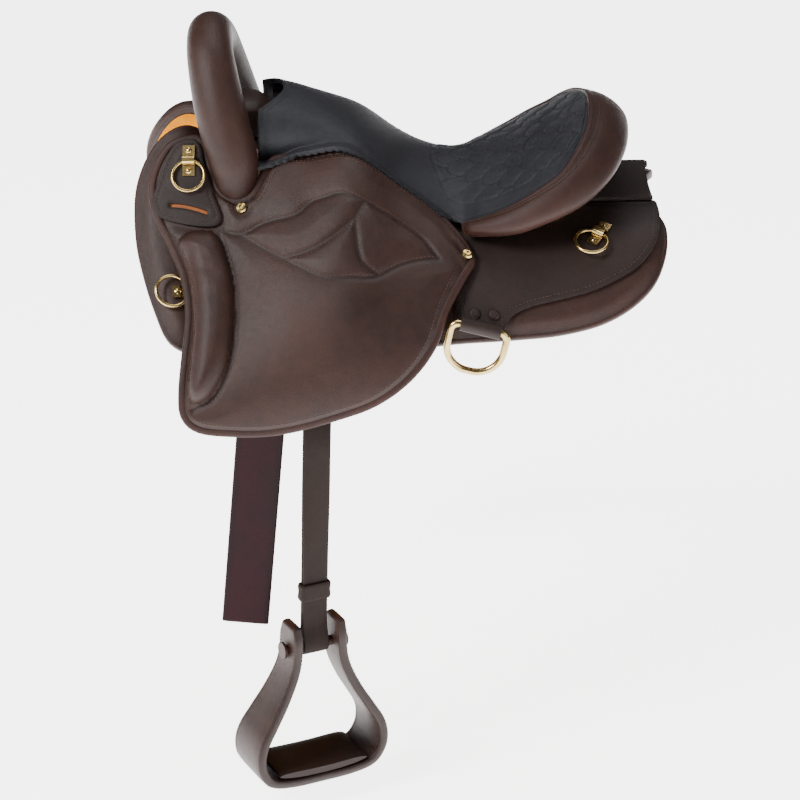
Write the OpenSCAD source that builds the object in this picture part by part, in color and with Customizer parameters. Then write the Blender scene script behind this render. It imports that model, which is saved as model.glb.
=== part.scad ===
// Endurance saddle with a hoop pommel, deep padded flaps, hanging stirrups and ring fittings.
// X runs from front to rear, the near side is -Y, Z is up, zero is the ridge of the saddle rack.

/* [Overall] */
// Half the length from the front panel edge to the rear panel edge
span = 310; // [280:5:340]
// Half the width across the lower flaps
reach = 290; // [265:5:315]
// Depth of the sides below the ridge
drop = 210; // [190:5:230]
// Working gap between neighbouring pieces
fit = 0.4; // [0.3:0.1:0.6]
// Gap between soft layers laid on one another
bed = 1.2; // [0.8:0.1:1.6]

/* [Panels] */
// Thickness of the stuffed panel
panel_t = 24; // [18:1:30]
// Thickness of the panel at its sewn edge
panel_edge_t = 11; // [8:1:14]
// Thickness of the felt lining
lining_t = 4; // [3:0.5:6]
// Distance the lining stays inside the panel edge
lining_margin = 22; // [16:1:28]
// Width over which the panel rounds to its edge
panel_round = 22; // [14:1:30]

/* [Leather] */
// Thickness of skirts, tabs and yoke
leather_t = 4; // [3:0.5:6]
// Thickness of the padded flap
flap_t = 9; // [7:0.5:12]
// Thickness of the flap next to its binding
flap_edge_t = 6; // [4:0.5:8]
// Width of the bound edges
binding_w = 9; // [6:0.5:12]
// Thickness of the bound edges
binding_t = 8; // [6:0.5:10]
// Height of the knee roll over the flap
roll_h = 15; // [8:1:20]
// Width over which the knee roll rounds to its edge
roll_round = 10; // [6:1:13]
// Length of the slot in the ring tab
slot_l = 44; // [30:1:50]
// Height of the slot in the ring tab
slot_h = 5; // [4:0.5:7]

/* [Tree] */
// Thickness of the tree bars
bar_t = 10; // [8:0.5:14]
// Radius of the rod in the pommel hoop
core_r = 8; // [6:0.5:9]
// Radius of the padded pommel hoop
hoop_r = 29; // [25:0.5:32]

/* [Seat] */
// Thickness of the seat leather
cover_t = 4; // [3:0.5:5]
// Thickness of the seat foam
foam_t = 8; // [6:0.5:9]
// Thickness of the seat strainer
strainer_t = 4; // [3:0.5:5]
// Bulge of the cantle roll
cantle_bulge = 12; // [8:1:16]

/* [Straps] */
// Width of the stirrup leather
strap_w = 32; // [28:1:38]
// Thickness of one layer of stirrup leather
strap_t = 3.5; // [3:0.25:4.5]
// Width of the girth strap
girth_w = 55; // [44:1:65]
// Thickness of one layer of girth strap
girth_t = 4; // [3:0.25:5]
// Drop of the near stirrup bolt below the leather hanger
near_drop = 426; // [380:1:450]
// Drop of the off stirrup bolt, which is hitched up short
off_drop = 184; // [180:1:192]
// Length of the near girth strap
near_girth = 418; // [300:1:480]
// Length of the off girth strap
off_girth = 345; // [280:1:360]
// Height of the keeper on the leather
keeper_h = 21; // [14:1:28]
// Wall of the keeper
keeper_t = 2.5; // [2:0.25:4]
// Gap between the near keeper and the bolt
keeper_up = 60; // [54:1:100]
// Gap between the off keeper and the bolt
off_keeper_up = 40; // [38:1:44]

/* [Stirrups] */
// Half the outside width of the stirrup
stirrup_half = 84; // [74:1:98]
// Height of the stirrup below its bolt
stirrup_h = 168; // [150:1:186]
// Depth of the stirrup at the tread
stirrup_d = 70; // [56:1:80]
// Wall of the stirrup
stirrup_t = 12; // [10:0.5:14]
// Radius of the stirrup bolt
bolt_r = 6; // [5:0.25:7]
// Radius of the bolt head
bolt_head_r = 10; // [8:0.5:12]
// Thickness of the bolt head
bolt_head_t = 3; // [2:0.5:5]
// Running clearance of turning pins
running = 0.1; // [0.05:0.01:0.1]

/* [Hangers] */
// Thickness of the strap hangers
hanger_t = 4; // [3:0.5:5]
// Radius of the hanger eye
hanger_eye_r = 9.5; // [9:0.5:11]
// Distance from the hanger pin down to its lower edge
hanger_h = 28; // [26:1:30]
// Height of the bar that carries the strap
hanger_bar = 6; // [5:0.5:7]
// Radius of the hanger pin
pin_r = 5; // [4:0.25:6]
// Radius of the hanger pin head
pin_head_r = 8; // [7:0.5:10]
// Thickness of the hanger pin head
pin_head_t = 3; // [2:0.5:4]

/* [Fittings] */
// Outside diameter of the saddle rings
ring_d = 41; // [34:1:46]
// Wire diameter of the saddle rings
ring_wire = 4; // [3:0.25:5]
// Width of the ring clips
clip_w = 14; // [10:1:16]
// Length of the ring clips
clip_l = 36; // [34:1:40]
// Thickness of the ring clips
clip_t = 1.8; // [1.2:0.1:2.5]
// Radius of the clip screw heads
screw_r = 3.6; // [3:0.1:4]
// Radius of the flap screw heads
stud_r = 6.5; // [5:0.5:8]
// Height of the flap screw heads
stud_h = 3.5; // [2:0.5:5]
// Outside width of the rear dee
dee_w = 74; // [64:1:80]
// Outside height of the rear dee
dee_h = 62; // [54:1:70]
// Wire diameter of the rear dee
dee_wire = 8.5; // [7:0.5:10]

/* [Hidden] */
$fn = 40;

leather_brown = "#3a2722";
binding_brown = "#4a2a20";
seat_black = "#1b1d22";
felt_orange = "#c98a2e";
strap_maroon = "#3c1620";
brass = "#c8b27a";
steel = "#8c8f92";
timber = "#9b7a52";

// Length of a side measured round the horse, used for edge widths on the charts
side_length = 1.8 * drop;
tick = 0.01;

// Outer face of the panels: station along the length, then pairs of width and height from ridge to lower edge
panel_shares = [
    [-1, 0.17, 0.51, 0.27, 0.3, 0.37, 0.09, 0.53, -0.18, 0.71, -0.46, 0.83, -0.7, 0.9, -0.99],
    [-0.81, 0.18, 0.56, 0.28, 0.3, 0.39, 0.08, 0.54, -0.18, 0.72, -0.46, 0.84, -0.71, 0.9, -0.99],
    [-0.65, 0.12, 0.39, 0.22, 0.22, 0.33, 0.02, 0.49, -0.22, 0.68, -0.49, 0.82, -0.72, 0.9, -0.99],
    [-0.26, 0.15, 0.19, 0.29, 0.09, 0.42, -0.07, 0.55, -0.27, 0.68, -0.5, 0.79, -0.73, 0.87, -0.99],
    [0.13, 0.16, 0.1, 0.33, 0.04, 0.48, -0.07, 0.62, -0.25, 0.74, -0.48, 0.84, -0.71, 0.9, -0.99],
    [0.58, 0.16, 0.09, 0.33, 0.047, 0.48, -0.04, 0.61, -0.21, 0.73, -0.44, 0.82, -0.7, 0.88, -0.99],
    [1, 0.16, 0.09, 0.32, 0.06, 0.46, -0.01, 0.59, -0.17, 0.71, -0.39, 0.8, -0.67, 0.87, -0.99]
];
// Outer face of the flaps in the same form
flap_shares = [
    [-1, 0.22, 0.5, 0.34, 0.22, 0.5, -0.06, 0.71, -0.34, 0.88, -0.62, 0.99, -0.98],
    [-0.81, 0.23, 0.52, 0.36, 0.24, 0.52, -0.05, 0.73, -0.34, 0.89, -0.62, 0.99, -0.98],
    [-0.6, 0.27, 0.45, 0.41, 0.17, 0.59, -0.09, 0.77, -0.36, 0.91, -0.63, 0.99, -0.98],
    [-0.37, 0.26, 0.41, 0.46, 0.2, 0.66, -0.04, 0.82, -0.32, 0.93, -0.63, 0.99, -0.98],
    [-0.18, 0.3, 0.45, 0.5, 0.24, 0.68, -0.01, 0.83, -0.3, 0.93, -0.62, 0.99, -0.98],
    [0, 0.32, 0.277, 0.52, 0.11, 0.68, -0.1, 0.82, -0.36, 0.92, -0.64, 0.97, -0.98],
    [0.15, 0.385, 0.125, 0.56, 0, 0.7, -0.18, 0.82, -0.41, 0.9, -0.67, 0.95, -0.98],
    [0.28, 0.52, -0.02, 0.62, -0.12, 0.73, -0.29, 0.82, -0.48, 0.89, -0.7, 0.93, -0.98],
    [0.45, 0.59, -0.11, 0.68, -0.21, 0.76, -0.35, 0.83, -0.52, 0.89, -0.72, 0.92, -0.98]
];
// Seat: station, centre height, half width, edge height, fullness of the section
seat_shares = [
    [-0.53, 0.68, 0.23, 0.31, 1.5],
    [-0.45, 0.67, 0.24, 0.34, 1.38],
    [-0.37, 0.64, 0.25, 0.4, 1.15],
    [-0.18, 0.53, 0.29, 0.45, 0.7],
    [0, 0.35, 0.315, 0.274, 0.56],
    [0.15, 0.275, 0.372, 0.128, 0.56],
    [0.23, 0.275, 0.42, 0.068, 0.58],
    [0.3, 0.29, 0.475, 0.118, 0.62],
    [0.37, 0.315, 0.51, 0.175, 0.64],
    [0.44, 0.35, 0.52, 0.235, 0.62],
    [0.51, 0.41, 0.515, 0.3, 0.6],
    [0.58, 0.465, 0.49, 0.365, 0.58],
    [0.63, 0.51, 0.44, 0.435, 0.56],
    [0.665, 0.545, 0.365, 0.49, 0.54],
    [0.69, 0.57, 0.27, 0.53, 0.52],
    [0.705, 0.585, 0.16, 0.565, 0.5],
    [0.715, 0.592, 0.04, 0.59, 0.5]
];
// Cantle: rim place, then the place of the lower edge below it, from the front end to the middle of the back
cantle_shares = [
    [0.23, 0.444, 0.07, 0.245, 0.485, 0.02],
    [0.3, 0.484, 0.12, 0.305, 0.525, 0.045],
    [0.37, 0.514, 0.175, 0.37, 0.555, 0.06],
    [0.44, 0.524, 0.235, 0.44, 0.573, 0.085],
    [0.51, 0.519, 0.3, 0.515, 0.578, 0.13],
    [0.58, 0.494, 0.365, 0.595, 0.565, 0.175],
    [0.632, 0.445, 0.435, 0.67, 0.53, 0.22],
    [0.669, 0.37, 0.49, 0.74, 0.47, 0.28],
    [0.697, 0.273, 0.53, 0.8, 0.368, 0.34],
    [0.715, 0.145, 0.57, 0.845, 0.21, 0.4],
    [0.72, 0, 0.59, 0.86, 0, 0.43]
];
// Section of the cantle roll: share down the wall, share of the bulge
roll_section_shares = [
    [0.02, -0.1], [0.1, 0.42], [0.3, 0.8], [0.6, 0.97], [0.88, 0.75], [1, 0.15], [0.98, -0.85], [0.6, -1.05], [0.24, -0.7]
];
// Pommel hoop: length, width and height of the centre line, share of the hoop radius
hoop_shares = [
    [-0.715, 0, 0.962, 0.91], [-0.706, 0.145, 0.89, 0.94], [-0.677, 0.236, 0.69, 1.01], [-0.65, 0.284, 0.538, 1],
    [-0.627, 0.313, 0.425, 0.93], [-0.613, 0.328, 0.33, 0.8], [-0.61, 0.328, 0.27, 0.6], [-0.61, 0.327, 0.225, 0.37]
];
// Ends of the hoop rod in the tree bars
core_foot_shares = [-0.61, 0.335, 0.13, 0];
// Fork between the hoop legs: station, top height, half width, height of the top edge
fork_shares = [
    [-0.7, 0.53, 0.145, 0.5], [-0.665, 0.61, 0.15, 0.55], [-0.6, 0.63, 0.145, 0.57], [-0.54, 0.62, 0.125, 0.57],
    [-0.5, 0.58, 0.1, 0.54], [-0.44, 0.51, 0.085, 0.48]
];

// Outlines on the side charts: share of the half length, share of the way down
panel_loop_shares = [
    [-0.73, 0.005], [-0.83, 0.022], [-0.91, 0.065], [-0.967, 0.145], [-0.995, 0.26], [-0.99, 0.39], [-0.96, 0.49],
    [-0.91, 0.59], [-0.84, 0.68], [-0.7, 0.71], [-0.5, 0.71], [-0.3, 0.7], [-0.05, 0.68], [0.2, 0.66], [0.42, 0.66],
    [0.59, 0.657], [0.75, 0.632], [0.87, 0.578], [0.95, 0.5], [0.99, 0.39], [1, 0.27], [0.992, 0.17], [0.96, 0.075],
    [0.895, 0.024], [0.78, 0.01], [0.55, 0.01], [0.3, 0.01], [0, 0.01], [-0.3, 0.01], [-0.55, 0.01]
];
skirt_loop_shares = [
    [0.66, 0.06], [0.76, 0.05], [0.87, 0.05], [0.955, 0.06], [0.97, 0.12], [0.97, 0.23], [0.945, 0.36], [0.89, 0.44],
    [0.81, 0.49], [0.7, 0.53], [0.58, 0.55], [0.48, 0.565], [0.42, 0.585], [0.395, 0.61], [0.375, 0.635], [0.3, 0.62],
    [0.225, 0.6], [0.205, 0.57], [0.2, 0.52], [0.16, 0.47], [0.05, 0.43], [-0.06, 0.38], [-0.05, 0.3], [0.1, 0.25],
    [0.3, 0.245], [0.5, 0.235], [0.6, 0.19], [0.63, 0.12]
];
flap_loop_shares = [
    [-0.742, 0.014], [-0.8, 0.02], [-0.87, 0.05], [-0.92, 0.12], [-0.94, 0.2], [-0.92, 0.29], [-0.86, 0.39],
    [-0.81, 0.48], [-0.79, 0.58], [-0.8, 0.71], [-0.81, 0.83], [-0.8, 0.9], [-0.74, 0.94], [-0.62, 0.95],
    [-0.46, 0.945], [-0.27, 0.91], [-0.09, 0.86], [0.04, 0.77], [0.13, 0.64], [0.18, 0.48], [0.24, 0.29], [0.28, 0.14],
    [0.27, 0.055], [0.215, 0.022], [0.1, 0.012], [-0.02, 0.012], [-0.15, 0.012], [-0.3, 0.012], [-0.43, 0.012], [-0.49, 0.034],
    [-0.53, 0.1], [-0.565, 0.16], [-0.614, 0.177], [-0.665, 0.16], [-0.692, 0.105]
];
bar_loop_shares = [
    [-0.632, 0.04], [-0.636, 0.16], [-0.632, 0.29], [-0.575, 0.39], [-0.45, 0.44], [-0.28, 0.42], [-0.2, 0.34], [-0.1, 0.23],
    [0.1, 0.18], [0.35, 0.175], [0.52, 0.17], [0.57, 0.11], [0.56, 0.04], [0.35, 0.03], [0.1, 0.03], [-0.15, 0.03],
    [-0.4, 0.03], [-0.6, 0.03]
];
knee_loop_shares = [
    [-0.785, 0.375], [-0.777, 0.44], [-0.757, 0.52], [-0.745, 0.6], [-0.753, 0.7], [-0.765, 0.78], [-0.745, 0.845],
    [-0.69, 0.835], [-0.64, 0.76], [-0.615, 0.65], [-0.608, 0.53], [-0.618, 0.43], [-0.655, 0.365], [-0.72, 0.348]
];
tab_loop_shares = [
    [-0.775, 0.03], [-0.835, 0.055], [-0.875, 0.11], [-0.9, 0.18], [-0.92, 0.25], [-0.89, 0.3], [-0.79, 0.318],
    [-0.695, 0.3], [-0.662, 0.26], [-0.695, 0.19], [-0.73, 0.1], [-0.745, 0.045]
];
panel_hub = [-0.35, 0.34];
skirt_hub = [0.55, 0.36];
flap_hub = [-0.61, 0.4];
bar_hub = [-0.4, 0.16];
knee_hub = [-0.69, 0.6];
tab_hub = [-0.79, 0.17];
hub_shares = [0.2, 0.4, 0.6, 0.8];

// Places of the fittings on the side charts
front_clip = [-0.785, 0.11];
front_clip_turn = -14;
rear_clip = [0.74, 0.3];
rear_clip_turn = 35;
ring_lift = 5;
yoke_share = 0.075;
lining_share = 0.175;
breast_clip = [-0.787, 0.545];
tab_slot = [-0.785, 0.262];
front_stud = [-0.588, 0.212];
rear_stud = [0.248, 0.122];
dee_place = [0.295, 0.628];
dee_turn = 14;
rivet_a = [0.275, 0.575];
rivet_b = [0.345, 0.583];

// Feet of the hanger pins in the tree bars, and how far out the hangers sit
stirrup_foot = [-0.29, 0.351];
girth_foot = [-0.462, 0.381];
stirrup_out_share = 0.55;
girth_out_share = 0.52;
girth_lean = 5.2;
// Middle line of the hanging straps: width and height, from the hanger down
leather_line_shares = [
    [0.557, -0.13], [0.557, -0.18], [0.557, -0.21], [0.578, -0.26], [0.615, -0.32], [0.665, -0.4], [0.757, -0.54],
    [0.84, -0.7], [0.885, -0.84], [0.899, -0.96], [0.9, -1.1], [0.9, -2.5]
];
girth_line_shares = [
    [0.527, -0.13], [0.527, -0.18], [0.527, -0.21], [0.558, -0.26], [0.605, -0.32], [0.66, -0.4], [0.725, -0.52],
    [0.742, -0.62], [0.742, -0.8], [0.742, -2.5]
];
stirrup_yaw = 28;
leather_lean = 1.5;
off_tilt = 20;
// Height over which the near leather turns to the stirrup
turn_top = 0.95 * drop;
turn_end = 1.66 * drop;
// Length over which the two layers of a strap part at its ends
spread = 5 * bolt_r;
// Right half of the stirrup centre line: share of the half width, share of the height
post_shares = [
    [0.34, 0.2], [0.34, 0.12], [0.345, 0], [0.375, -0.11], [0.45, -0.22], [0.59, -0.36], [0.76, -0.5], [0.9, -0.62],
    [0.955, -0.73], [0.92, -0.84], [0.77, -0.93], [0.45, -0.963], [0, -0.967]
];
post_corner_shares = [[1, -0.8], [1, 0.8], [0.6, 1], [-0.6, 1], [-1, 0.8], [-1, -0.8], [-0.6, -1], [0.6, -1]];
lobe_d_share = 0.62;
// Places across the underside and the top of the tread
tread_low_shares = [-0.66, -0.5, -0.25, 0, 0.25, 0.5, 0.66];
tread_top_shares = [0.7, 0.35, 0, -0.35, -0.7];

ring_r = (ring_d - ring_wire) / 2;
wire_r = ring_wire / 2;
ring_sag = ring_r - sqrt(ring_r ^ 2 - (clip_w / 2) ^ 2);
loop_r = wire_r + ring_sag + fit;
clip_rise = wire_r + 2 * fit;
bar_bed = 3.3 * bed;
cover_d = cover_t;
foam_d = cover_t + 2.4 * bed;
foam_end = foam_d + foam_t;
strainer_d = foam_end + fit;
strainer_end = strainer_d + strainer_t;
tab_low = bed;
tab_top = tab_low + leather_t;
skirt_top = 1.5 * bed + leather_t;
dee_r = dee_wire / 2;
hoop_bore = core_r + bed;
stirrup_hanger_w = strap_w + 4 * fit + hanger_bar;
girth_hanger_w = girth_w + 4 * fit + hanger_bar;

// Smooth rows and paths
function rest(v) = [for (i = [1:len(v) - 1]) v[i]];
function seg(rows, x, i = 0) = i >= len(rows) - 2 || x < rows[i + 1][0] ? i : seg(rows, x, i + 1);
function slope(rows, k) =
    let(a = max(k - 1, 0), b = min(k + 1, len(rows) - 1))
    (rest(rows[b]) - rest(rows[a])) / (rows[b][0] - rows[a][0]);
function row_at(rows, x) =
    let(i = seg(rows, x), h = rows[i + 1][0] - rows[i][0], s = (x - rows[i][0]) / h)
    (2 * s ^ 3 - 3 * s ^ 2 + 1) * rest(rows[i]) + (s ^ 3 - 2 * s ^ 2 + s) * h * slope(rows, i)
    + (3 * s ^ 2 - 2 * s ^ 3) * rest(rows[i + 1]) + (s ^ 3 - s ^ 2) * h * slope(rows, i + 1);
function blend(a, b, c, d, s) =
    b + (c - a) * s / 2 + (2 * a - 5 * b + 4 * c - d) * s ^ 2 / 2 + (3 * b - a - 3 * c + d) * s ^ 3 / 2;
function end_of(pts, k) =
    k < 0 ? 2 * pts[0] - pts[1]
    : k >= len(pts) ? 2 * pts[len(pts) - 1] - pts[len(pts) - 2]
    : pts[k];
function glide(pts, t) =
    let(n = len(pts) - 1, i = min(max(floor(t * n), 0), n - 1))
    blend(end_of(pts, i - 1), end_of(pts, i), end_of(pts, i + 1), end_of(pts, i + 2), t * n - i);
function path(pts, steps) = [for (k = [0:steps]) glide(pts, k / steps)];
function closed(pts, steps) =
    let(n = len(pts))
    [for (i = [0:n - 1]) for (j = [0:steps - 1])
        blend(pts[(i + n - 1) % n], pts[i], pts[(i + 1) % n], pts[(i + 2) % n], j / steps)];
function unit(v) = v / norm(v);
function reversed(v) = [for (i = [len(v) - 1:-1:0]) v[i]];
function smooth(s) = let(c = min(max(s, 0), 1)) 3 * c ^ 2 - 2 * c ^ 3;

// Places on the side charts
function pairs(v) = [for (i = [0:2:len(v) - 2]) [v[i] * reach, v[i + 1] * drop]];
function on_net(net, c, o) =
    let(pts = pairs(row_at(net, c[0])), p = glide(pts, c[1]),
        q = unit(glide(pts, c[1] + tick) - glide(pts, c[1] - tick)))
    [c[0] * span, p[0] - q[1] * o, p[1] + q[0] * o];
function down_net(net, c) = unit(on_net(net, c + [0, tick], 0) - on_net(net, c - [0, tick], 0));
function ring_on(net, loop, o) = [for (c = loop) on_net(net, c, o)];
function inset(loop, d) =
    let(n = len(loop))
    [for (i = [0:n - 1])
        let(e = loop[(i + 1) % n] - loop[(i + n - 1) % n], m = unit([e[1] * side_length, -e[0] * span]))
        loop[i] + [m[0] * d / span, m[1] * d / side_length]];
function hubbed(loop, hub, s) = [for (c = loop) hub + (c - hub) * s];

// Solids from rings and grids
function wall(n, k, l) = [for (i = [0:n - 1]) each
    [[k * n + i, l * n + i, l * n + (i + 1) % n], [k * n + i, l * n + (i + 1) % n, k * n + (i + 1) % n]]];
module skin(rings, tip_a, tip_b) {
    n = len(rings[0]);
    m = len(rings);
    polyhedron(
        points = concat([for (r = rings) each r], [tip_a, tip_b]),
        faces = concat(
            [for (k = [0:m - 2]) each wall(n, k, k + 1)],
            [for (i = [0:n - 1]) [m * n, i, (i + 1) % n]],
            [for (i = [0:n - 1]) [m * n + 1, (m - 1) * n + (i + 1) % n, (m - 1) * n + i]]
        )
    );
}
module loop_skin(rings) {
    n = len(rings[0]);
    m = len(rings);
    polyhedron(
        points = [for (r = rings) each r],
        faces = [for (k = [0:m - 1]) each wall(n, k, (k + 1) % m)]
    );
}
module slab(top, low) {
    m = len(top);
    n = len(top[0]);
    q = m * n;
    edge = concat(
        [for (j = [0:n - 2]) j],
        [for (i = [0:m - 2]) i * n + n - 1],
        [for (j = [n - 1:-1:1]) (m - 1) * n + j],
        [for (i = [m - 1:-1:1]) i * n]
    );
    p = len(edge);
    polyhedron(
        points = concat([for (r = top) each r], [for (r = low) each r]),
        faces = concat(
            [for (i = [0:m - 2]) for (j = [0:n - 2]) each
                [[i * n + j, (i + 1) * n + j, (i + 1) * n + j + 1], [i * n + j, (i + 1) * n + j + 1, i * n + j + 1]]],
            [for (i = [0:m - 2]) for (j = [0:n - 2]) each
                [[q + i * n + j, q + (i + 1) * n + j + 1, q + (i + 1) * n + j],
                 [q + i * n + j, q + i * n + j + 1, q + (i + 1) * n + j + 1]]],
            [for (k = [0:p - 1]) each
                [[edge[k], edge[(k + 1) % p], q + edge[(k + 1) % p]], [edge[k], q + edge[(k + 1) % p], q + edge[k]]]]
        )
    );
}
// A stuffed piece lying on a side chart, rounded towards its edge
module pad(net, loop, hub, round_w, top, top_edge, low, low_edge, crown = 0) {
    inner = inset(loop, round_w);
    charts = concat([for (h = hub_shares) hubbed(inner, hub, h)], [inner, inset(loop, round_w * 0.35), loop]);
    tops = concat([for (h = hub_shares) top + crown * (1 - h ^ 2)], [top, top * 0.7 + top_edge * 0.3, top_edge]);
    lows = concat([for (h = hub_shares) low], [low, low * 0.7 + low_edge * 0.3, low_edge]);
    n = len(charts) - 1;
    skin(
        concat(
            [for (k = [0:n]) ring_on(net, charts[k], tops[k])],
            [for (k = [n:-1:0]) ring_on(net, charts[k], lows[k])]
        ),
        on_net(net, hub, top + crown),
        on_net(net, hub, low)
    );
}
// A plain sheet of even thickness lying on a side chart
module sheet(net, loop, hub, top, low) {
    charts = concat([for (h = hub_shares) hubbed(loop, hub, h)], [loop]);
    n = len(charts) - 1;
    skin(
        concat(
            [for (k = [0:n]) ring_on(net, charts[k], top)],
            [for (k = [n:-1:0]) ring_on(net, charts[k], low)]
        ),
        on_net(net, hub, top),
        on_net(net, hub, low)
    );
}
// A bound edge running round an outline
module bound_edge(net, loop, top, low) {
    mid = (top + low) / 2;
    soft = (top - low) / 4;
    loop_skin([
        ring_on(net, loop, mid),
        ring_on(net, inset(loop, binding_w * 0.35), top),
        ring_on(net, inset(loop, binding_w), top - soft),
        ring_on(net, inset(loop, binding_w), low + soft),
        ring_on(net, inset(loop, binding_w * 0.35), low)
    ]);
}
module on_side(net, c, o) {
    x = unit(on_net(net, c + [tick, 0], 0) - on_net(net, c - [tick, 0], 0));
    z = unit(cross(x, down_net(net, c)));
    y = cross(z, x);
    p = on_net(net, c, 0) + o * z;
    multmatrix([for (k = [0:2]) [x[k], y[k], z[k], p[k]]]) children();
}
module near() {
    mirror([0, 1, 0]) children();
}
module both_sides() {
    children();
    near() children();
}

// Tree
module bar_side() {
    difference() {
        sheet(panel_shares, closed(bar_loop_shares, 2), bar_hub, bar_bed + bar_t, bar_bed);
        pin_hole(stirrup_pin, stirrup_foot);
        pin_hole(girth_pin, girth_foot);
    }
}
module tree_bar_near() {
    color(timber) near() bar_side();
}
module tree_bar_off() {
    color(timber) bar_side();
}
function bar_crest(x) = on_net(panel_shares, [x, bar_loop_shares[0][1]], bar_bed + bar_t)[2] + bed;
module fork() {
    column_shares = [-1, -0.85, -0.5, 0, 0.5, 0.85, 1];
    color(leather_brown) slab(
        [for (k = [0:10]) let(r = glide(fork_shares, k / 10))
            [for (t = column_shares) [r[0] * span, t * r[2] * reach, (r[1] - (r[1] - r[3]) * t ^ 4) * drop]]],
        [for (k = [0:10]) let(r = glide(fork_shares, k / 10))
            [for (t = column_shares) [r[0] * span, t * r[2] * reach, bar_crest(r[0]) - 3 * bed]]]
    );
}
function mirrored(r) = [r[0], -r[1], r[2], r[3]];
function hoop_line() =
    concat([for (r = reversed(hoop_shares)) mirrored(r)], rest(hoop_shares));
function tube_ring(a, b, c, r, n) =
    let(t = unit(c - a), u = unit([1, 0, 0] - t[0] * t), v = cross(t, u))
    [for (i = [0:n - 1]) b + r * (cos(360 * i / n) * u + sin(360 * i / n) * v)];
function core_line() =
    concat([mirrored(core_foot_shares)], hoop_line(), [core_foot_shares]);
function hoop_rings(line, steps, n, r) =
    let(q = path(line, steps), p = [for (s = q) [s[0] * span, s[1] * reach, s[2] * drop]])
    [for (k = [0:steps])
        tube_ring(end_of(p, k - 1), p[k], end_of(p, k + 1), r > 0 ? r : q[k][3] * hoop_r, n)];
module hoop_core() {
    rings = hoop_rings(core_line(), 28, 8, core_r);
    color(steel) skin(rings, (rings[0][0] + rings[0][4]) / 2, (rings[28][0] + rings[28][4]) / 2);
}
module pommel_hoop() {
    color(leather_brown) loop_skin(concat(
        hoop_rings(hoop_line(), 26, 12, 0),
        reversed(hoop_rings(hoop_line(), 26, 12, hoop_bore))
    ));
}

// Seat
seat_station_shares = [
    -0.53, -0.49, -0.45, -0.41, -0.37, -0.31, -0.25, -0.18, -0.09, 0, 0.08, 0.15, 0.23, 0.3, 0.37, 0.44, 0.51, 0.58,
    0.63, 0.665, 0.69, 0.705, 0.715
];
seat_column_shares = [-1, -0.92, -0.82, -0.7, -0.52, -0.38, -0.2, 0, 0.2, 0.38, 0.52, 0.7, 0.82, 0.92, 1];
layer_column_shares = [-0.52, -0.4, -0.26, -0.13, 0, 0.13, 0.26, 0.4, 0.52];
strainer_column_shares = [-0.4, -0.26, -0.13, 0, 0.13, 0.26, 0.4];
seat_notch = 0.09;
function notch_at(x, t) = seat_notch * max(0, 1 - (t / 0.4) ^ 2) * smooth((-0.25 - x) / 0.28);
function seat_at(x, t, d, e) =
    let(xs = x + notch_at(x, t), r = row_at(seat_shares, xs), a = abs(t),
        w = max(r[1] * reach - e, fit), y = 2 * a * (1 - a) * r[3] * w + a ^ 2 * w)
    [xs * span, sign(t) * y, (1 - a ^ 2) * (r[0] * drop - d) + a ^ 2 * (r[2] * drop - d)];
function seat_grid(d, e, first, last, columns) =
    [for (k = [first:last]) [for (t = columns) seat_at(seat_station_shares[k], t, d, e)]];
module seat_cover() {
    color(seat_black) slab(seat_grid(0, 0, 0, 22, seat_column_shares), seat_grid(cover_d, cover_t, 0, 22, seat_column_shares));
}
module seat_foam() {
    color("#d8cfa8") slab(
        seat_grid(foam_d, cover_t, 1, 20, layer_column_shares),
        seat_grid(foam_end, cover_t, 1, 20, layer_column_shares)
    );
}
module seat_strainer() {
    color(steel) slab(
        seat_grid(strainer_d, cover_t, 2, 19, strainer_column_shares),
        seat_grid(strainer_end, cover_t, 2, 19, strainer_column_shares)
    );
}
module tree_cantle() {
    station_shares = [0.42, 0.48, 0.54, 0.6, 0.65];
    column_shares = [-0.5, -0.3, -0.1, 0.1, 0.3, 0.5];
    top = [for (x = station_shares) [for (t = column_shares) seat_at(x, t, strainer_end + bed, cover_t)]];
    color(timber) slab(top, [for (r = top) [for (p = r) [p[0], p[1], bar_crest(p[0] / span)]]]);
}
function cantle_line() =
    concat(
        [for (r = cantle_shares) [r[0], -r[1], r[2], r[3], -r[4], r[5]]],
        reversed([for (i = [0:len(cantle_shares) - 2]) cantle_shares[i]])
    );
module cantle_roll() {
    steps = 30;
    q = path(cantle_line(), steps);
    rim = [for (r = q) [r[0] * span, r[1] * reach, r[2] * drop]];
    foot = [for (r = q) [r[3] * span, r[4] * reach, r[5] * drop]];
    rings = [for (k = [0:steps])
        let(e = foot[k] - rim[k], t = end_of(rim, k + 1) - end_of(rim, k - 1), o = unit(cross(e, t)))
        [for (s = roll_section_shares) rim[k] + e * s[0] + o * (s[1] * cantle_bulge + fit)]];
    color(leather_brown) skin(rings, (rim[0] + foot[0]) / 2, (rim[steps] + foot[steps]) / 2);
}
module rear_yoke() {
    station_shares = [0.7, 0.76, 0.82, 0.88, 0.935];
    column_shares = [-1, -0.6, -0.3, 0, 0.3, 0.6, 1];
    half = [for (x = station_shares) on_net(panel_shares, [x, yoke_share], skirt_top + bed)];
    low = [for (p = half) [for (t = column_shares) [p[0], t * p[1], p[2] + leather_t * (1 - abs(t))]]];
    color(leather_brown) slab([for (r = low) [for (p = r) p + [0, 0, leather_t]]], low);
}

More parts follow.
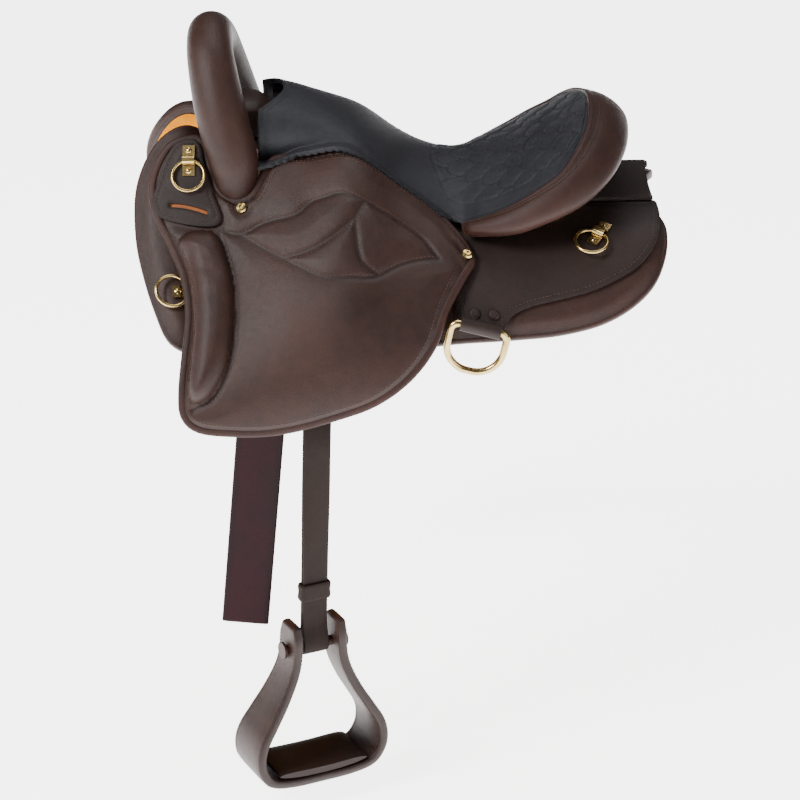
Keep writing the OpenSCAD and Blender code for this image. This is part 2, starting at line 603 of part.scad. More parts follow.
// Panels, skirts and flaps
module panel_side() {
    pad(
        panel_shares, inset(closed(panel_loop_shares, 2), binding_w + fit), panel_hub, panel_round,
        0, (panel_edge_t - panel_t) / 2, -panel_t, -(panel_edge_t + panel_t) / 2
    );
}
module panel_near() {
    color(leather_brown) near() panel_side();
}
module panel_off() {
    color(leather_brown) panel_side();
}
module panel_binding_side() {
    mid = -panel_t / 2;
    bound_edge(panel_shares, closed(panel_loop_shares, 2), mid + panel_edge_t / 2 + fit, mid - panel_edge_t / 2 - fit);
}
module panel_binding_near() {
    color(binding_brown) near() panel_binding_side();
}
module panel_binding_off() {
    color(binding_brown) panel_binding_side();
}
module panel_lining_side() {
    low = -panel_t - 4.6 * bed;
    loop = [for (c = inset(panel_loop_shares, binding_w + lining_margin)) [c[0], max(c[1], lining_share)]];
    sheet(panel_shares, loop, panel_hub, low, low - lining_t);
}
module panel_lining_near() {
    color(felt_orange) near() panel_lining_side();
}
module panel_lining_off() {
    color(felt_orange) panel_lining_side();
}
module skirt_side() {
    sheet(panel_shares, skirt_loop_shares, skirt_hub, skirt_top, skirt_top - leather_t);
}
module skirt_near() {
    color(leather_brown) near() skirt_side();
}
module skirt_off() {
    color(leather_brown) skirt_side();
}
module flap_side() {
    rim = (flap_t - flap_edge_t) / 2;
    pad(
        flap_shares, inset(flap_loop_shares, binding_w + fit), flap_hub, binding_w,
        0, -rim, -flap_t, rim - flap_t
    );
}
module flap_near() {
    color(leather_brown) near() flap_side();
}
module flap_off() {
    color(leather_brown) flap_side();
}
module flap_binding_side() {
    bound_edge(flap_shares, flap_loop_shares, (binding_t - flap_t) / 2, -(binding_t + flap_t) / 2);
}
module flap_binding_near() {
    color(binding_brown) near() flap_binding_side();
}
module flap_binding_off() {
    color(binding_brown) flap_binding_side();
}
module knee_roll_side() {
    pad(flap_shares, knee_loop_shares, knee_hub, roll_round, roll_h * 0.85, 2 * bed, bed, bed, roll_h * 0.15);
}
module knee_roll_near() {
    color(leather_brown) near() knee_roll_side();
}
module knee_roll_off() {
    color(leather_brown) knee_roll_side();
}
module ring_tab_side() {
    difference() {
        sheet(flap_shares, tab_loop_shares, tab_hub, tab_top, tab_low);
        on_side(flap_shares, tab_slot, 0) cube([slot_l, slot_h, 6 * leather_t], center = true);
    }
}
module ring_tab_near() {
    color(leather_brown) near() ring_tab_side();
}
module ring_tab_off() {
    color(leather_brown) ring_tab_side();
}

// Rings in their clips
module clip_place(which) {
    if (which == "front") on_side(flap_shares, front_clip, tab_top + bed) rotate([0, 0, front_clip_turn]) children();
    if (which == "rear") on_side(panel_shares, rear_clip, skirt_top + fit) rotate([0, 0, rear_clip_turn]) children();
    if (which == "breast") on_side(panel_shares, breast_clip, bed) rotate([0, 0, 90]) children();
}
module clip() {
    side = loop_r + clip_t;
    rotate([90, 0, 90]) translate([0, 0, -clip_w / 2]) linear_extrude(clip_w) {
        difference() {
            union() {
                translate([0, clip_rise]) circle(r = side);
                translate([-side, 0]) square([2 * side, clip_rise]);
            }
            translate([0, clip_rise]) circle(r = loop_r);
            translate([-loop_r, 0]) square([2 * loop_r, clip_rise]);
            translate([-side, -side]) square([2 * side, side]);
        }
    }
    for (s = [-1, 1]) difference() {
        translate([-clip_w / 2, s > 0 ? loop_r : -clip_l / 2, 0]) cube([clip_w, clip_l / 2 - loop_r, clip_t]);
        translate([0, s * clip_l / 3, -clip_t]) cylinder(r = screw_r / 2 + running, h = 3 * clip_t);
    }
}
module clip_screw(s) {
    translate([0, s * clip_l / 3, 0]) {
        cylinder(r = screw_r / 2, h = clip_t + running);
        translate([0, 0, clip_t + running]) rotate_extrude() intersection() {
            translate([0, -screw_r]) circle(r = 1.5 * screw_r);
            square([screw_r, screw_r]);
        }
    }
}
module saddle_ring(lift) {
    translate([0, 0, clip_rise]) rotate([lift, 0, 0]) translate([0, ring_r, 0]) rotate_extrude($fn = 48) translate([ring_r, 0]) circle(r = wire_r, $fn = 20);
}
module front_ring_near() {
    color(brass) near() clip_place("front") saddle_ring(ring_lift);
}
module front_ring_off() {
    color(brass) clip_place("front") saddle_ring(ring_lift);
}
module rear_ring_near() {
    color(brass) near() clip_place("rear") saddle_ring(ring_lift);
}
module rear_ring_off() {
    color(brass) clip_place("rear") saddle_ring(ring_lift);
}
module breast_ring_near() {
    color(brass) near() clip_place("breast") saddle_ring(0);
}
module breast_ring_off() {
    color(brass) clip_place("breast") saddle_ring(0);
}
module ring_clips() {
    color(brass) both_sides() for (w = ["front", "rear", "breast"]) clip_place(w) clip();
}
module clip_screws() {
    color(brass) both_sides() for (w = ["front", "rear", "breast"]) clip_place(w) for (s = [-1, 1]) clip_screw(s);
}
module stud(r, h) {
    rotate_extrude() polygon([[0, 0], [r, 0], [r, h / 3], [0.8 * r, 0.8 * h], [0.5 * r, h], [0, h]]);
}
module cup_screw() {
    difference() {
        stud(stud_r, stud_h);
        translate([0, 0, stud_h / 2]) cylinder(r = stud_r / 3, h = stud_h);
    }
}
module flap_screws() {
    color(brass) both_sides() {
        on_side(flap_shares, front_stud, bed) cup_screw();
        on_side(flap_shares, rear_stud, 2 * fit) cup_screw();
    }
}
module dee_rivets() {
    color(leather_brown) both_sides() {
        on_side(panel_shares, rivet_a, skirt_top + fit) stud(stud_r, stud_h);
        on_side(panel_shares, rivet_b, skirt_top + fit) stud(stud_r, stud_h);
    }
}

// Rear dee in its leather loop
module dee_frame() {
    translate(on_net(panel_shares, dee_place, skirt_top + dee_r + leather_t + 1.7 * bed)) rotate([0, dee_turn, 0]) children();
}
module dee_loop_side() {
    wrap = dee_r + leather_t;
    long = dee_w - 3 * dee_wire - bed;
    dee_frame() rotate([0, 90, 0]) translate([0, 0, -long / 2]) difference() {
        cylinder(r = wrap, h = long);
        translate([0, 0, -fit]) cylinder(r = dee_r + running, h = long + 2 * fit);
    }
}
module dee_loop_near() {
    color(leather_brown) near() dee_loop_side();
}
module dee_loop_off() {
    color(leather_brown) dee_loop_side();
}
module dee_corner(r, a) {
    rotate([0, a, 0]) rotate([90, 0, 0]) rotate_extrude(angle = 90) translate([r, 0]) circle(r = dee_r, $fn = 20);
}
module dee_side() {
    half = dee_w / 2 - dee_r;
    low = dee_h - dee_wire;
    small = dee_wire;
    large = half * 0.92;
    dee_frame() {
        translate([small - half, 0, 0]) rotate([0, 90, 0]) cylinder(r = dee_r, h = 2 * (half - small), $fn = 20);
        for (s = [-1, 1]) {
            translate([s * half, 0, large - low]) cylinder(r = dee_r, h = low - large - small, $fn = 20);
        }
        translate([half - small, 0, -small]) dee_corner(small, 0);
        translate([small - half, 0, -small]) dee_corner(small, -90);
        translate([large - half, 0, large - low]) dee_corner(large, 180);
        translate([half - large, 0, large - low]) dee_corner(large, 90);
        translate([large - half, 0, -low]) rotate([0, 90, 0]) cylinder(r = dee_r, h = 2 * (half - large), $fn = 20);
    }
}
module rear_dee_near() {
    color(brass) near() dee_side();
}
module rear_dee_off() {
    color(brass) dee_side();
}

// Strap hangers and their pins
function foot_at(c) = on_net(panel_shares, c, bar_bed + bar_t / 2);
stirrup_pin = [foot_at(stirrup_foot)[0], stirrup_out_share * reach, foot_at(stirrup_foot)[2]];
girth_pin = [foot_at(girth_foot)[0], girth_out_share * reach, foot_at(girth_foot)[2]];
module pin_hole(p, foot) {
    from = foot_at(foot)[1] - running;
    translate([p[0], from, p[2]]) rotate([-90, 0, 0]) cylinder(r = pin_r + running, h = p[1] - from);
}
module pivot_pin(p, foot) {
    from = foot_at(foot)[1];
    neck = p[1] + hanger_t + fit - from;
    translate([p[0], from, p[2]]) rotate([-90, 0, 0]) rotate_extrude() polygon([
        [0, 0], [pin_r, 0], [pin_r, neck], [pin_head_r, neck], [pin_head_r, neck + pin_head_t], [0, neck + pin_head_t]
    ]);
}
module pivot_pins() {
    color(steel) both_sides() {
        pivot_pin(stirrup_pin, stirrup_foot);
        pivot_pin(girth_pin, girth_foot);
    }
}
module hanger(p, w, t) {
    slot = hanger_t / 2 + t + 4 * fit;
    low = -hanger_h;
    inner = w - hanger_bar;
    translate([p[0], p[1] + hanger_t, p[2]]) rotate([90, 0, 0]) difference() {
        union() {
            cylinder(r = hanger_eye_r, h = hanger_t);
            linear_extrude(hanger_t) polygon([
                [-0.6 * hanger_eye_r, 0], [0.6 * hanger_eye_r, 0], [w / 2, low + hanger_bar + slot],
                [w / 2, low], [-w / 2, low], [-w / 2, low + hanger_bar + slot]
            ]);
        }
        translate([0, 0, -fit]) cylinder(r = pin_r + running, h = hanger_t + 2 * fit);
        translate([-inner / 2, low + hanger_bar, -fit]) cube([inner, slot, hanger_t + 2 * fit]);
    }
}
module leather_swing() {
    translate(stirrup_pin) rotate([0, leather_lean, 0]) translate(-stirrup_pin) children();
}
module stirrup_hanger_near() {
    color(steel) near() leather_swing() hanger(stirrup_pin, stirrup_hanger_w, strap_t);
}
module stirrup_hanger_off() {
    color(steel) hanger(stirrup_pin, stirrup_hanger_w, strap_t);
}
module girth_swing() {
    translate(girth_pin) rotate([0, girth_lean, 0]) translate(-girth_pin) children();
}
module girth_hanger_near() {
    color(steel) near() girth_swing() hanger(girth_pin, girth_hanger_w, girth_t);
}
module girth_hanger_off() {
    color(steel) girth_swing() hanger(girth_pin, girth_hanger_w, girth_t);
}

// Straps looped over a hanger bar and closed round their lower end
function line_at(line, z) =
    let(rows = reversed([for (s = line) [s[1] * drop, s[0] * reach]]))
    row_at(rows, z)[0];
function strap_side(line, top, low, n, gap_top, gap, gap_low, s) =
    [for (k = [0:n])
        let(bar = top - hanger_bar, z = k == 0 ? top : bar + (low - bar) * (k - 1) / (n - 1), y = line_at(line, z),
            t = unit([line_at(line, z - fit) - line_at(line, z + fit), -2 * fit]),
            g = gap + (gap_top - gap) * (1 - smooth((top - z - hanger_bar) / spread))
                + (gap_low - gap) * (1 - smooth((z - low) / spread)))
        [y - s * t[1] * g / 2, z + s * t[0] * g / 2]];
function arc_at(c, r, a, b, n) = [for (k = [1:n - 1]) let(w = a + (b - a) * k / n) c + r * [cos(w), sin(w)]];
function strap_path(line, top, low, gap_top, gap, gap_low) =
    let(n = 20, out = strap_side(line, top, low, n, gap_top, gap, gap_low, 1),
        back = strap_side(line, top, low, n, gap_top, gap, gap_low, -1))
    concat(
        out,
        arc_at((out[n] + back[n]) / 2, gap_low / 2, 0, -180, 8),
        reversed(back),
        arc_at((out[0] + back[0]) / 2, gap_top / 2, 180, 0, 6)
    );
function strap_ring(p, k, x, w, t) =
    let(n = len(p), d = unit(p[(k + 1) % n] - p[(k + n - 1) % n]), m = [-d[1], d[0]] * t / 2)
    [
        [x - w / 2, p[k][0] + m[0], p[k][1] + m[1]], [x + w / 2, p[k][0] + m[0], p[k][1] + m[1]],
        [x + w / 2, p[k][0] - m[0], p[k][1] - m[1]], [x - w / 2, p[k][0] - m[0], p[k][1] - m[1]]
    ];
function turned(p, x, y, yaw) =
    let(a = -yaw * smooth((-p[2] - turn_top) / (turn_end - turn_top)), d = p - [x, y, 0])
    [x + d[0] * cos(a) - d[1] * sin(a), y + d[0] * sin(a) + d[1] * cos(a), p[2]];
leather_y = leather_line_shares[11][0] * reach;
leather_top = stirrup_pin[2] - hanger_h + hanger_bar;
girth_top = girth_pin[2] - hanger_h + hanger_bar;
module leather_side(low, yaw) {
    p = strap_path(
        leather_line_shares, leather_top, leather_top - low,
        hanger_t + 5 * fit + strap_t, strap_t + fit, 2 * bolt_r + 4 * fit + strap_t
    );
    loop_skin([for (k = [0:len(p) - 1])
        [for (q = strap_ring(p, k, stirrup_pin[0], strap_w, strap_t)) turned(q, stirrup_pin[0], leather_y, yaw)]]);
}
module stirrup_leather_near() {
    color("#4a3d38") near() leather_swing() leather_side(near_drop, stirrup_yaw);
}
module stirrup_leather_off() {
    color("#4a3d38") leather_side(off_drop, 0);
}
module girth_side(low) {
    p = strap_path(
        girth_line_shares, girth_top, girth_top - low,
        hanger_t + 5 * fit + girth_t, girth_t + fit, girth_t + 2 * fit
    );
    girth_swing() loop_skin([for (k = [0:len(p) - 1]) strap_ring(p, k, girth_pin[0], girth_w, girth_t)]);
}
module girth_strap_near() {
    color(strap_maroon) near() girth_side(near_girth);
}
module girth_strap_off() {
    color(strap_maroon) girth_side(off_girth);
}
module leather_frame(low, yaw) {
    z = leather_top - low;
    translate([stirrup_pin[0], line_at(leather_line_shares, z), z]) rotate([0, 0, -yaw]) children();
}
module keeper_side(low, yaw, up) {
    thick = 2 * strap_t + 4 * fit;
    wide = strap_w + 2 * fit;
    z = leather_top - low + up;
    rise = line_at(leather_line_shares, z) - line_at(leather_line_shares, z + keeper_h);
    leather_frame(low - up - keeper_h / 2, yaw) rotate([atan(rise / keeper_h), 0, 0]) difference() {
        cube([wide + 2 * keeper_t, thick + 2 * keeper_t, keeper_h], center = true);
        cube([wide, thick, keeper_h + 2 * fit], center = true);
    }
}
module leather_keeper_near() {
    color("#4a3d38") near() leather_swing() keeper_side(near_drop, stirrup_yaw, keeper_up);
}
module leather_keeper_off() {
    color("#4a3d38") keeper_side(off_drop, 0, off_keeper_up);
}

// Stirrups on their bolts
module stirrup_frame_at(low, yaw, tilt) {
    leather_frame(low, yaw) rotate([tilt, 0, 0]) children();
}
function post_line() =
    concat([for (s = post_shares) [-s[0], s[1]]], rest(reversed(post_shares)));
module frame_side(low, yaw, tilt) {
    steps = 32;
    p = [for (s = path(post_line(), steps)) [s[0] * stirrup_half, s[1] * stirrup_h]];
    rings = [for (k = [0:steps])
        let(t = unit(end_of(p, k + 1) - end_of(p, k - 1)), n = [-t[1], t[0]] * stirrup_t / 2,
            tip = 0.55 + 0.45 * smooth(min(k, steps - k) / 3),
            d = stirrup_d / 2 * tip * (lobe_d_share + (1 - lobe_d_share) * smooth(-1.25 * p[k][1] / stirrup_h)))
        [for (c = post_corner_shares)
            [p[k][0] + n[0] * c[0], d * c[1], p[k][1] + n[1] * c[0]]]];
    stirrup_frame_at(low, yaw, tilt) difference() {
        skin(
            rings,
            [p[0][0], 0, p[0][1] + stirrup_t / 4],
            [p[steps][0], 0, p[steps][1] + stirrup_t / 4]
        );
        rotate([0, 90, 0]) cylinder(r = bolt_r + running, h = 2 * stirrup_half, center = true);
    }
}
module stirrup_frame_near() {
    color(leather_brown) near() leather_swing() frame_side(near_drop, stirrup_yaw, 0);
}
module stirrup_frame_off() {
    color(leather_brown) frame_side(off_drop, 0, off_tilt);
}
module tread_side(low, yaw, tilt) {
    floor_line = [for (s = tread_low_shares)
        [s * stirrup_half, (0.05 * s ^ 2 + 0.14 * s ^ 6 - 0.967) * stirrup_h + stirrup_t / 2 + 2 * fit]];
    top_line = [for (s = tread_top_shares) [s * stirrup_half, (0.03 * s ^ 2 - 0.86) * stirrup_h]];
    stirrup_frame_at(low, yaw, tilt) rotate([90, 0, 0]) translate([0, 0, -0.47 * stirrup_d])
        linear_extrude(0.94 * stirrup_d) polygon(concat(floor_line, top_line));
}
module stirrup_tread_near() {
    color(leather_brown) near() leather_swing() tread_side(near_drop, stirrup_yaw, 0);
}
module stirrup_tread_off() {
    color(leather_brown) tread_side(off_drop, 0, off_tilt);
}
module bolt_side(low, yaw, tilt) {
    half = post_shares[3][0] * stirrup_half + stirrup_t / 2 + 2 * fit;
    stirrup_frame_at(low, yaw, tilt) rotate([0, 90, 0]) {
        translate([0, 0, -half]) cylinder(r = bolt_r, h = 2 * half);
        translate([0, 0, half]) cylinder(r = bolt_head_r, h = bolt_head_t);
        translate([0, 0, -half - bolt_head_t]) cylinder(r = bolt_head_r, h = bolt_head_t);
    }
}
module stirrup_bolt_near() {
    color(steel) near() leather_swing() bolt_side(near_drop, stirrup_yaw, 0);
}
module stirrup_bolt_off() {
    color(steel) bolt_side(off_drop, 0, off_tilt);
}

tree_bar_near();
tree_bar_off();
fork();
tree_cantle();
hoop_core();
pommel_hoop();
seat_strainer();
seat_foam();
seat_cover();
cantle_roll();
rear_yoke();
panel_near();
panel_off();
panel_binding_near();
panel_binding_off();
panel_lining_near();
panel_lining_off();
skirt_near();
skirt_off();
flap_near();
flap_off();
flap_binding_near();
flap_binding_off();
knee_roll_near();
knee_roll_off();
ring_tab_near();
ring_tab_off();
front_ring_near();
front_ring_off();
rear_ring_near();
rear_ring_off();
breast_ring_near();
breast_ring_off();
dee_loop_near();
dee_loop_off();
rear_dee_near();
rear_dee_off();
stirrup_hanger_near();
stirrup_hanger_off();
stirrup_leather_near();
stirrup_leather_off();
leather_keeper_near();
leather_keeper_off();
stirrup_frame_near();
stirrup_frame_off();
stirrup_tread_near();
stirrup_tread_off();
stirrup_bolt_near();
stirrup_bolt_off();
girth_hanger_near();
girth_hanger_off();
girth_strap_near();
girth_strap_off();
ring_clips();
clip_screws();
flap_screws();
dee_rivets();
pivot_pins();
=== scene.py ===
import math
import bpy
import numpy as np
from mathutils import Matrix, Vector


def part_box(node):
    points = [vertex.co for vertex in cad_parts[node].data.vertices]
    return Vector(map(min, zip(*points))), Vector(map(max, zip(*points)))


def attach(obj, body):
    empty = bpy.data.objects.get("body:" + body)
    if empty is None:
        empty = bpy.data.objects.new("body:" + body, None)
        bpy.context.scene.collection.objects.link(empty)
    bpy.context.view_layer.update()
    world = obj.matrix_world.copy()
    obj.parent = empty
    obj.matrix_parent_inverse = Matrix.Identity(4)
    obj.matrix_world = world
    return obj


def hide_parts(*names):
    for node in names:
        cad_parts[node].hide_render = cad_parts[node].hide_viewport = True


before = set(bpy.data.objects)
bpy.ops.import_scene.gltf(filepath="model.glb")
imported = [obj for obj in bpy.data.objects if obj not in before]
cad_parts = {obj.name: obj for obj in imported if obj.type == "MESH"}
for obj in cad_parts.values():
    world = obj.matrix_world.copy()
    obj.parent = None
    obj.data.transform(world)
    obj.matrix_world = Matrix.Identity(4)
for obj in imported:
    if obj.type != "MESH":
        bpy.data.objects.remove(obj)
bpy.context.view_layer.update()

bpy.ops.object.select_all(action="DESELECT")
print("frame:", len(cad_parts), "nodes")

# side charts of the saddle: station along the length, then pairs of width and height from the ridge down
chart = {"span": 0.310, "reach": 0.290, "drop": 0.210, "run": 0.378, "probe": 0.01}
chartSize = np.array([chart["span"], chart["run"]])
tiny = 1e-12
panelRows = np.array([
    [-1, 0.17, 0.51, 0.27, 0.3, 0.37, 0.09, 0.53, -0.18, 0.71, -0.46, 0.83, -0.7, 0.9, -0.99],
    [-0.81, 0.18, 0.56, 0.28, 0.3, 0.39, 0.08, 0.54, -0.18, 0.72, -0.46, 0.84, -0.71, 0.9, -0.99],
    [-0.65, 0.12, 0.39, 0.22, 0.22, 0.33, 0.02, 0.49, -0.22, 0.68, -0.49, 0.82, -0.72, 0.9, -0.99],
    [-0.26, 0.15, 0.19, 0.29, 0.09, 0.42, -0.07, 0.55, -0.27, 0.68, -0.5, 0.79, -0.73, 0.87, -0.99],
    [0.13, 0.16, 0.1, 0.33, 0.04, 0.48, -0.07, 0.62, -0.25, 0.74, -0.48, 0.84, -0.71, 0.9, -0.99],
    [0.58, 0.16, 0.09, 0.33, 0.047, 0.48, -0.04, 0.61, -0.21, 0.73, -0.44, 0.82, -0.7, 0.88, -0.99],
    [1, 0.16, 0.09, 0.32, 0.06, 0.46, -0.01, 0.59, -0.17, 0.71, -0.39, 0.8, -0.67, 0.87, -0.99]])
flapRows = np.array([
    [-1, 0.22, 0.5, 0.34, 0.22, 0.5, -0.06, 0.71, -0.34, 0.88, -0.62, 0.99, -0.98],
    [-0.81, 0.23, 0.52, 0.36, 0.24, 0.52, -0.05, 0.73, -0.34, 0.89, -0.62, 0.99, -0.98],
    [-0.6, 0.27, 0.45, 0.41, 0.17, 0.59, -0.09, 0.77, -0.36, 0.91, -0.63, 0.99, -0.98],
    [-0.37, 0.26, 0.41, 0.46, 0.2, 0.66, -0.04, 0.82, -0.32, 0.93, -0.63, 0.99, -0.98],
    [-0.18, 0.3, 0.45, 0.5, 0.24, 0.68, -0.01, 0.83, -0.3, 0.93, -0.62, 0.99, -0.98],
    [0, 0.32, 0.277, 0.52, 0.11, 0.68, -0.1, 0.82, -0.36, 0.92, -0.64, 0.97, -0.98],
    [0.15, 0.385, 0.125, 0.56, 0, 0.7, -0.18, 0.82, -0.41, 0.9, -0.67, 0.95, -0.98],
    [0.28, 0.52, -0.02, 0.62, -0.12, 0.73, -0.29, 0.82, -0.48, 0.89, -0.7, 0.93, -0.98],
    [0.45, 0.59, -0.11, 0.68, -0.21, 0.76, -0.35, 0.83, -0.52, 0.89, -0.72, 0.92, -0.98]])


def unit(v):
    return v / np.maximum(np.linalg.norm(v, axis=-1, keepdims=True), tiny)


def smoothStep(s):
    s = np.clip(s, 0, 1)
    return s * s * (3 - 2 * s)


def rise(d, start, run):
    return smoothStep((d - start) / run)


def fade(d, run, size=1.0):
    return size * (1 - smoothStep(d / run))


def dip(d, width, size=1.0):
    return size * np.exp(-(d / width)**2)


def rowAt(rows, x):
    x = np.atleast_1d(np.asarray(x, float))
    s, v, n = rows[:, 0], rows[:, 1:], len(rows)
    a, b = np.maximum(np.arange(n) - 1, 0), np.minimum(np.arange(n) + 1, n - 1)
    lean = (v[b] - v[a]) / (s[b] - s[a])[:, None]
    i = np.clip(np.searchsorted(s, x, side="right") - 1, 0, n - 2)
    h = (s[i + 1] - s[i])[:, None]
    u = (x - s[i])[:, None] / h
    return ((2 * u**3 - 3 * u**2 + 1) * v[i] + (u**3 - 2 * u**2 + u) * h * lean[i]
            + (3 * u**2 - 2 * u**3) * v[i + 1] + (u**3 - u**2) * h * lean[i + 1])


def glide(a, b, c, d, s):
    return b + (c - a) * s / 2 + (2 * a - 5 * b + 4 * c - d) * s**2 / 2 + (3 * b - a - 3 * c + d) * s**3 / 2


def glideAt(points, t):
    n = points.shape[1] - 1
    i = np.clip(np.floor(t * n).astype(int), 0, n - 1)
    first, last = 2 * points[:, :1] - points[:, 1:2], 2 * points[:, -1:] - points[:, -2:-1]
    ends = np.concatenate([first, points, last], axis=1)
    return glide(*(ends[np.arange(len(t)), i + j] for j in range(4)), (t * n - i)[:, None])


def onChart(rows, x, g, o=0.0):
    x, g, o = np.broadcast_arrays(*(np.atleast_1d(np.asarray(v, float)) for v in (x, g, o)))
    v = rowAt(rows, x)
    points = np.stack([v[:, 0::2] * chart["reach"], v[:, 1::2] * chart["drop"]], axis=2)
    p = glideAt(points, g)
    q = unit(glideAt(points, g + chart["probe"]) - glideAt(points, g - chart["probe"]))
    return np.stack([x * chart["span"], p[:, 0] - q[:, 1] * o, p[:, 1] + q[:, 0] * o], axis=1)


def smoothLoop(points, steps=6):
    p = np.asarray(points, float)
    s = np.arange(steps)[None, :, None] / steps
    return glide(*(np.roll(p, k, axis=0)[:, None] for k in (1, 0, -1, -2)), s).reshape(-1, p.shape[1])


def smoothLine(points, steps):
    p = np.asarray(points, float)[None]
    t = np.linspace(0, 1, steps + 1)
    return glideAt(np.repeat(p, len(t), axis=0), t)


def evenLine(points, step, closed=False):
    p = np.concatenate([points, points[:1]]) if closed else points
    run = np.concatenate([[0], np.cumsum(np.linalg.norm(np.diff(p, axis=0), axis=1))])
    s = np.linspace(0, run[-1], max(int(run[-1] / step), 2) + 1)
    s = s[:-1] if closed else s
    return np.stack([np.interp(s, run, p[:, k]) for k in range(p.shape[1])], axis=1)


def besideLine(line, d, along=None):
    along = np.gradient(line, axis=0) if along is None else along
    m = unit(np.stack([along[:, 1] * chart["run"], -along[:, 0] * chart["span"]], axis=1))
    return line + m * d / chartSize


def insetLoop(loop, d):
    following = np.roll(loop, -1, axis=0)
    turn = np.sign(np.sum(loop[:, 1] * following[:, 0] - loop[:, 0] * following[:, 1]))
    return besideLine(loop, d * turn, following - np.roll(loop, 1, axis=0))


def insideLoop(loop, x, g):
    hit = np.zeros(len(x), bool)
    for (x0, g0), (x1, g1) in zip(loop, np.roll(loop, -1, axis=0)):
        if g0 != g1:
            hit ^= ((g0 > g) != (g1 > g)) & (x < (x1 - x0) * (g - g0) / (g1 - g0) + x0)
    return hit


def lineDistance(line, x, g, closed=False):
    # distance in metres on the chart, and the nearest place on the line
    p = np.stack([x, g], axis=1) * chartSize
    q = np.asarray(line, float) * chartSize
    best = np.full(len(p), np.inf)
    place = np.zeros_like(p)
    for a, b in zip(q if closed else q[:-1], np.roll(q, -1, axis=0) if closed else q[1:]):
        s = np.clip(((p - a) @ (b - a)) / max((b - a) @ (b - a), tiny), 0, 1)[:, None]
        n = a + s * (b - a)
        d = np.linalg.norm(p - n, axis=1)
        near = d < best
        best[near], place[near] = d[near], n[near]
    return best, place / chartSize


# finishes
def srgb(r, g, b):
    return tuple((c / 255 / 12.92 if c <= 10 else ((c / 255 + 0.055) / 1.055) ** 2.4) for c in (r, g, b)) + (1.0,)


class Wire:
    def __init__(self, finish, socket):
        self.finish, self.socket = finish, socket

    def math(self, operation, a, b):
        return self.finish.node("ShaderNodeMath", {"operation": operation}, {0: a, 1: b})

    def __add__(self, other):
        return self.math("ADD", self, other)

    def __mul__(self, other):
        return self.math("MULTIPLY", self, other)


class Finish:
    def __init__(self, name):
        self.material = bpy.data.materials.new(name)
        self.material.use_nodes = True
        self.tree = self.material.node_tree
        self.shader = self.tree.nodes["Principled BSDF"]

    def node(self, kind, settings=None, inputs=None, out=0):
        n = self.tree.nodes.new(kind)
        for key, value in (settings or {}).items():
            setattr(n, key, value)
        for key, value in (inputs or {}).items():
            self.feed(n.inputs[key], value)
        return Wire(self, n.outputs[out])

    def feed(self, socket, value):
        if isinstance(value, Wire):
            self.tree.links.new(value.socket, socket)
        else:
            socket.default_value = value

    def shade(self, **values):
        for key, value in values.items():
            self.feed(self.shader.inputs[key.replace("_", " ")], value)

    def mix(self, share, a, b):
        return self.node("ShaderNodeMix", {"data_type": "RGBA"}, {0: share, 6: a, 7: b}, 2)

    def noise(self, scale, detail, rough=0.55, vector=None):
        place = vector or self.node("ShaderNodeTexCoord", out="Object")
        inputs = {"Vector": place, "Scale": scale, "Detail": detail, "Roughness": rough}
        return self.node("ShaderNodeTexNoise", {}, inputs)

    def bump(self, strength, depth, height):
        return self.node("ShaderNodeBump", {}, {"Strength": strength, "Distance": depth, "Height": height})

    def attribute(self, name):
        return self.node("ShaderNodeAttribute", {"attribute_name": name}, out="Fac")

    def ramp(self, value, lo, hi):
        inputs = {"Value": value, "From Min": lo, "From Max": hi}
        return self.node("ShaderNodeMapRange", {"clamp": True}, inputs)


leatherGrain = {
    "cloudDetail": 5.0, "fleckScale": 9, "fleckDetail": 3.0, "crinkleScale": 0.35, "crinkleDetail": 4.0, "rough": 0.6,
    "cloudTone": 0.75, "fleckTone": 0.25, "tone": (0.34, 0.66), "pore": (0.0, 0.22), "poreHeight": 0.6,
    "crinkleHeight": 0.7, "depth": 0.0006, "cloudShine": 0.6, "crinkleShine": 0.4, "shine": (0.3, 0.7)}


def leather(name, base, deep, creaseLineAndShade, rim, cloudScale, poreScale, low, high, bump, gloss):
    f, k = Finish(name), leatherGrain
    place = f.node("ShaderNodeTexCoord", out="Object")
    cloud = f.noise(cloudScale, k["cloudDetail"], k["rough"], place)
    fleck = f.noise(cloudScale * k["fleckScale"], k["fleckDetail"], k["rough"], place)
    pore = f.node("ShaderNodeTexVoronoi", {"feature": "DISTANCE_TO_EDGE"}, {"Vector": place, "Scale": poreScale})
    crinkle = f.noise(poreScale * k["crinkleScale"], k["crinkleDetail"], k["rough"], place)
    tone = f.mix(f.ramp(cloud * k["cloudTone"] + fleck * k["fleckTone"], *k["tone"]), srgb(*deep), srgb(*base))
    # the crease colour darkens seam and groove lines: partly a real dark seam line, partly painted shade in the grooves
    tone = f.mix(f.attribute("creaseLineAndShade"), tone, srgb(*creaseLineAndShade))
    tone = f.mix(f.attribute("rim"), tone, srgb(*rim))
    height = f.ramp(pore, *k["pore"]) * k["poreHeight"] + crinkle * k["crinkleHeight"]
    shine = f.ramp(cloud * k["cloudShine"] + crinkle * k["crinkleShine"], *k["shine"])
    f.shade(Base_Color=tone, Roughness=shine * (high - low) + low, Normal=f.bump(bump, k["depth"], height),
            Specular_IOR_Level=gloss)
    return f.material


metalGrain = {"cloudDetail": 4.0, "fineScale": 14, "fineDetail": 3.0, "tone": (0.35, 0.7), "spread": 0.16,
              "bump": 0.12, "depth": 0.0003}


def metal(name, look):
    f, k = Finish(name), metalGrain
    cloud = f.noise(look["cloud"], k["cloudDetail"])
    fine = f.noise(look["cloud"] * k["fineScale"], k["fineDetail"])
    f.shade(Base_Color=f.mix(f.ramp(cloud, *k["tone"]), look["base"], look["dull"]), Metallic=1.0,
            Roughness=fine * k["spread"] + look["rough"], Normal=f.bump(k["bump"], k["depth"], fine))
    return f.material


